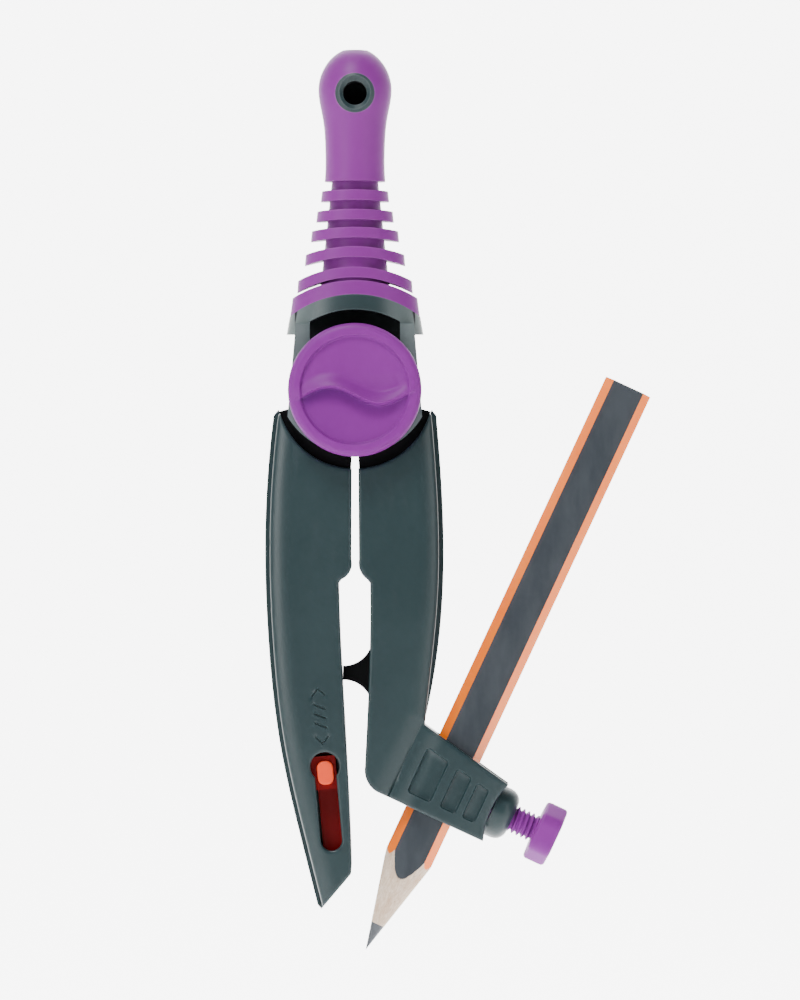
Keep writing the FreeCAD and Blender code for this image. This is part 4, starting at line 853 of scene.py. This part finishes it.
def make_pencil_paint():
    """Grey and orange lacquer on the faces, bare cedar with grain on the sharpened cone and the flat end."""
    n = Nodes("pencil_paint")
    # local frame: z up the pencil, y unchanged
    moved = n.add("ShaderNodeVectorMath", operation="SUBTRACT")
    n.link(n.coords, moved.inputs[0])
    moved.inputs[1].default_value = CLAMP
    turn = n.add("ShaderNodeVectorRotate", rotation_type="Y_AXIS")
    n.link(moved.outputs[0], turn.inputs["Vector"])
    turn.inputs["Angle"].default_value = -CLAMP_LEAN
    local = turn.outputs[0]
    x, y, z = n.split(local)
    along = [(Vector(v.co) - CLAMP).dot(PENCIL_UP) for v in nodes["pencil_lead"].data.vertices]
    tip, top = min(along), max(along)
    radial = n.math("SQRT", n.math("ADD", n.math("MULTIPLY", x, x), n.math("MULTIPLY", y, y)))
    slope = math.tan(math.radians(13.6))
    cone = n.math("MULTIPLY", n.math("SUBTRACT", z, tip), slope)  # the sharpened cone's radius
    ragged = n.math("MULTIPLY", n.math("SUBTRACT", n.noise(2500, 3, 0.6), 0.5), 0.10 * MM)
    on_cone = n.span(n.math("SUBTRACT", n.math("ADD", radial, ragged), cone), -0.09 * MM, -0.03 * MM)
    on_end = n.span(z, top - 0.04 * MM, top - 0.02 * MM)
    bare = n.math("MAXIMUM", on_cone, on_end)

    geometry = n.add("ShaderNodeNewGeometry")
    normal = n.add(
        "ShaderNodeVectorTransform", vector_type="NORMAL", convert_from="WORLD", convert_to="OBJECT")
    n.link(geometry.outputs["True Normal"], normal.inputs[0])
    turned_normal = n.add("ShaderNodeVectorRotate", rotation_type="Y_AXIS")
    n.link(normal.outputs[0], turned_normal.inputs["Vector"])
    turned_normal.inputs["Angle"].default_value = -CLAMP_LEAN
    ny = n.split(turned_normal.outputs[0])[1]
    # narrow faces look to +-60 degrees from the front, and straight back
    front_pair = n.math("MULTIPLY", n.span(ny, -0.62, -0.58), n.span(ny, -0.38, -0.42))
    back_face = n.span(ny, 0.95, 0.97)
    narrow = n.math("MAXIMUM", front_pair, back_face)
    streak = n.noise(300, 4, 0.6, vector=n.mapped(scale=(1, 1, 0.3)))
    grey = n.mix(n.span(streak, 0.3, 0.7), (0.040, 0.047, 0.056, 1), (0.055, 0.063, 0.073, 1))
    amber = n.mix(n.span(streak, 0.3, 0.7), (1.0, 0.17, 0.003, 1), (1.0, 0.20, 0.006, 1))
    paint = n.mix(narrow, grey, amber)

    stretch = n.add("ShaderNodeVectorMath", operation="MULTIPLY")
    n.link(local, stretch.inputs[0])
    stretch.inputs[1].default_value = (1, 1, 0.07)
    fibre = n.noise(5200, 5, 0.65, vector=stretch.outputs[0], distortion=0.4)
    band = n.noise(900, 3, 0.5, vector=stretch.outputs[0])
    wood = n.mix(n.span(fibre, 0.3, 0.7), srgb(206, 178, 152), srgb(232, 214, 196))
    wood = n.mix(n.span(band, 0.45, 0.7, 0, 0.55), wood, srgb(190, 152, 122))
    pores = n.span(n.noise(9000, 2, 0.6, vector=stretch.outputs[0]), 0.62, 0.70, 0, 0.5)
    wood = n.mix(pores, wood, srgb(140, 100, 76))
    color = n.mix(bare, paint, wood)
    rough = n.span(bare, 0, 1, 0.28, 0.75)
    height = n.mix(bare, n.noise(1200, 2, 0.5), fibre)
    bumped = n.bump(height, 0.03 * MM, 0.5)
    return n.finish(color, rough, bumped, Specular_IOR_Level=0.1)


def make_graphite():
    n = Nodes("graphite")
    lines = n.noise(3000, 4, 0.6, vector=n.mapped(scale=(1, 1, 0.1)))
    color = n.mix(lines, srgb(50, 52, 56), srgb(108, 112, 118))
    return n.finish(color, n.span(lines, 0.3, 0.7, 0.3, 0.5), n.bump(lines, 0.01 * MM, 0.6), Metallic=0.35)


def make_yoke_grey():
    """Shell plastic for the yoke: painted shade deep inside the fork and the eyelet where no light reaches,
    painted highlight on the cheeks towards the sides, and paler edges, partly rubbed and partly painted
    highlight.
    """
    n = Nodes("yoke_grey")
    x, y, z = n.split(n.coords)
    drift, speck = n.noise(60, 3), n.noise(2600, 2, 0.6)
    base = n.mix(n.span(drift, 0.35, 0.65, 0, 0.12), (0.016, 0.034, 0.038, 1), (0.045, 0.075, 0.080, 1))
    # painted highlight: the cheeks get paler towards the sides, as if lit there
    sides = n.span(n.math("ABSOLUTE", x), 3 * MM, 8.5 * MM, 0, 0.8)
    base = n.mix(sides, base, (0.15, 0.185, 0.185, 1))
    # paler edges, partly rubbed plastic and partly painted highlight
    base = n.mix(n.math("MULTIPLY", n.edge_wear_and_highlight(), 0.5), base, (0.10, 0.14, 0.145, 1))
    # painted shade: near-black deep inside the fork between the cheeks
    fork = n.math("MULTIPLY", n.span(y, -2.75 * MM, -2.45 * MM), n.span(y, 2.75 * MM, 2.45 * MM))
    fork = n.math("MULTIPLY", fork, n.span(n.math("ABSOLUTE", x), 8.75 * MM, 8.6 * MM))
    fork = n.math("MULTIPLY", fork, n.span(z, HINGE.z + 12.2 * MM, HINGE.z + 12.0 * MM))
    # painted shade: a near-black disc in the eyelet hole
    eyelet_drop = 6.4 * MM
    eyelet_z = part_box("grip_sleeve")[1].z - eyelet_drop
    from_eyelet = n.math("SQRT", n.math("ADD", n.math("MULTIPLY", x, x), n.math(
        "POWER", n.math("SUBTRACT", z, eyelet_z), 2.0)))
    eyelet_shade = n.math("MULTIPLY", n.span(from_eyelet, 1.80 * MM, 1.70 * MM), n.span(y, -4.6 * MM, -4.1 * MM))
    deep = n.math("MAXIMUM", fork, eyelet_shade)
    color = n.mix(deep, base, srgb(4, 10, 15))
    normal = n.bump(speck, 0.02 * MM, 0.6)
    return n.finish(color, n.span(deep, 0, 1, 0.40, 0.9), normal)


dress(purple, "grip_sleeve")
dress(make_yoke_grey(), "yoke")
dress(shell_grey, "left_back_shell", "right_back_shell", "clamp_boss", "left_front_shell",
      "right_front_shell")
dress(black, "left_frame", "right_frame", "clamp_jaw")
dress(dark_red, "needle_guide", "needle_carrier")
dress(orange, "slide_button")
dress(steel_plain, "hinge_bolt", "thrust_washers", "spring_washer", "centring_pin", "needle",
      "left_shell_screws", "right_shell_screws")
dress(brass, "knob_nut")
dress(make_pencil_paint(), "pencil_casing")
dress(make_graphite(), "pencil_lead")
make_knob(knob_purple)
make_screw(knob_purple)
make_left_shell(shell_grey)
make_right_shell(shell_grey)
make_boss(shell_grey)
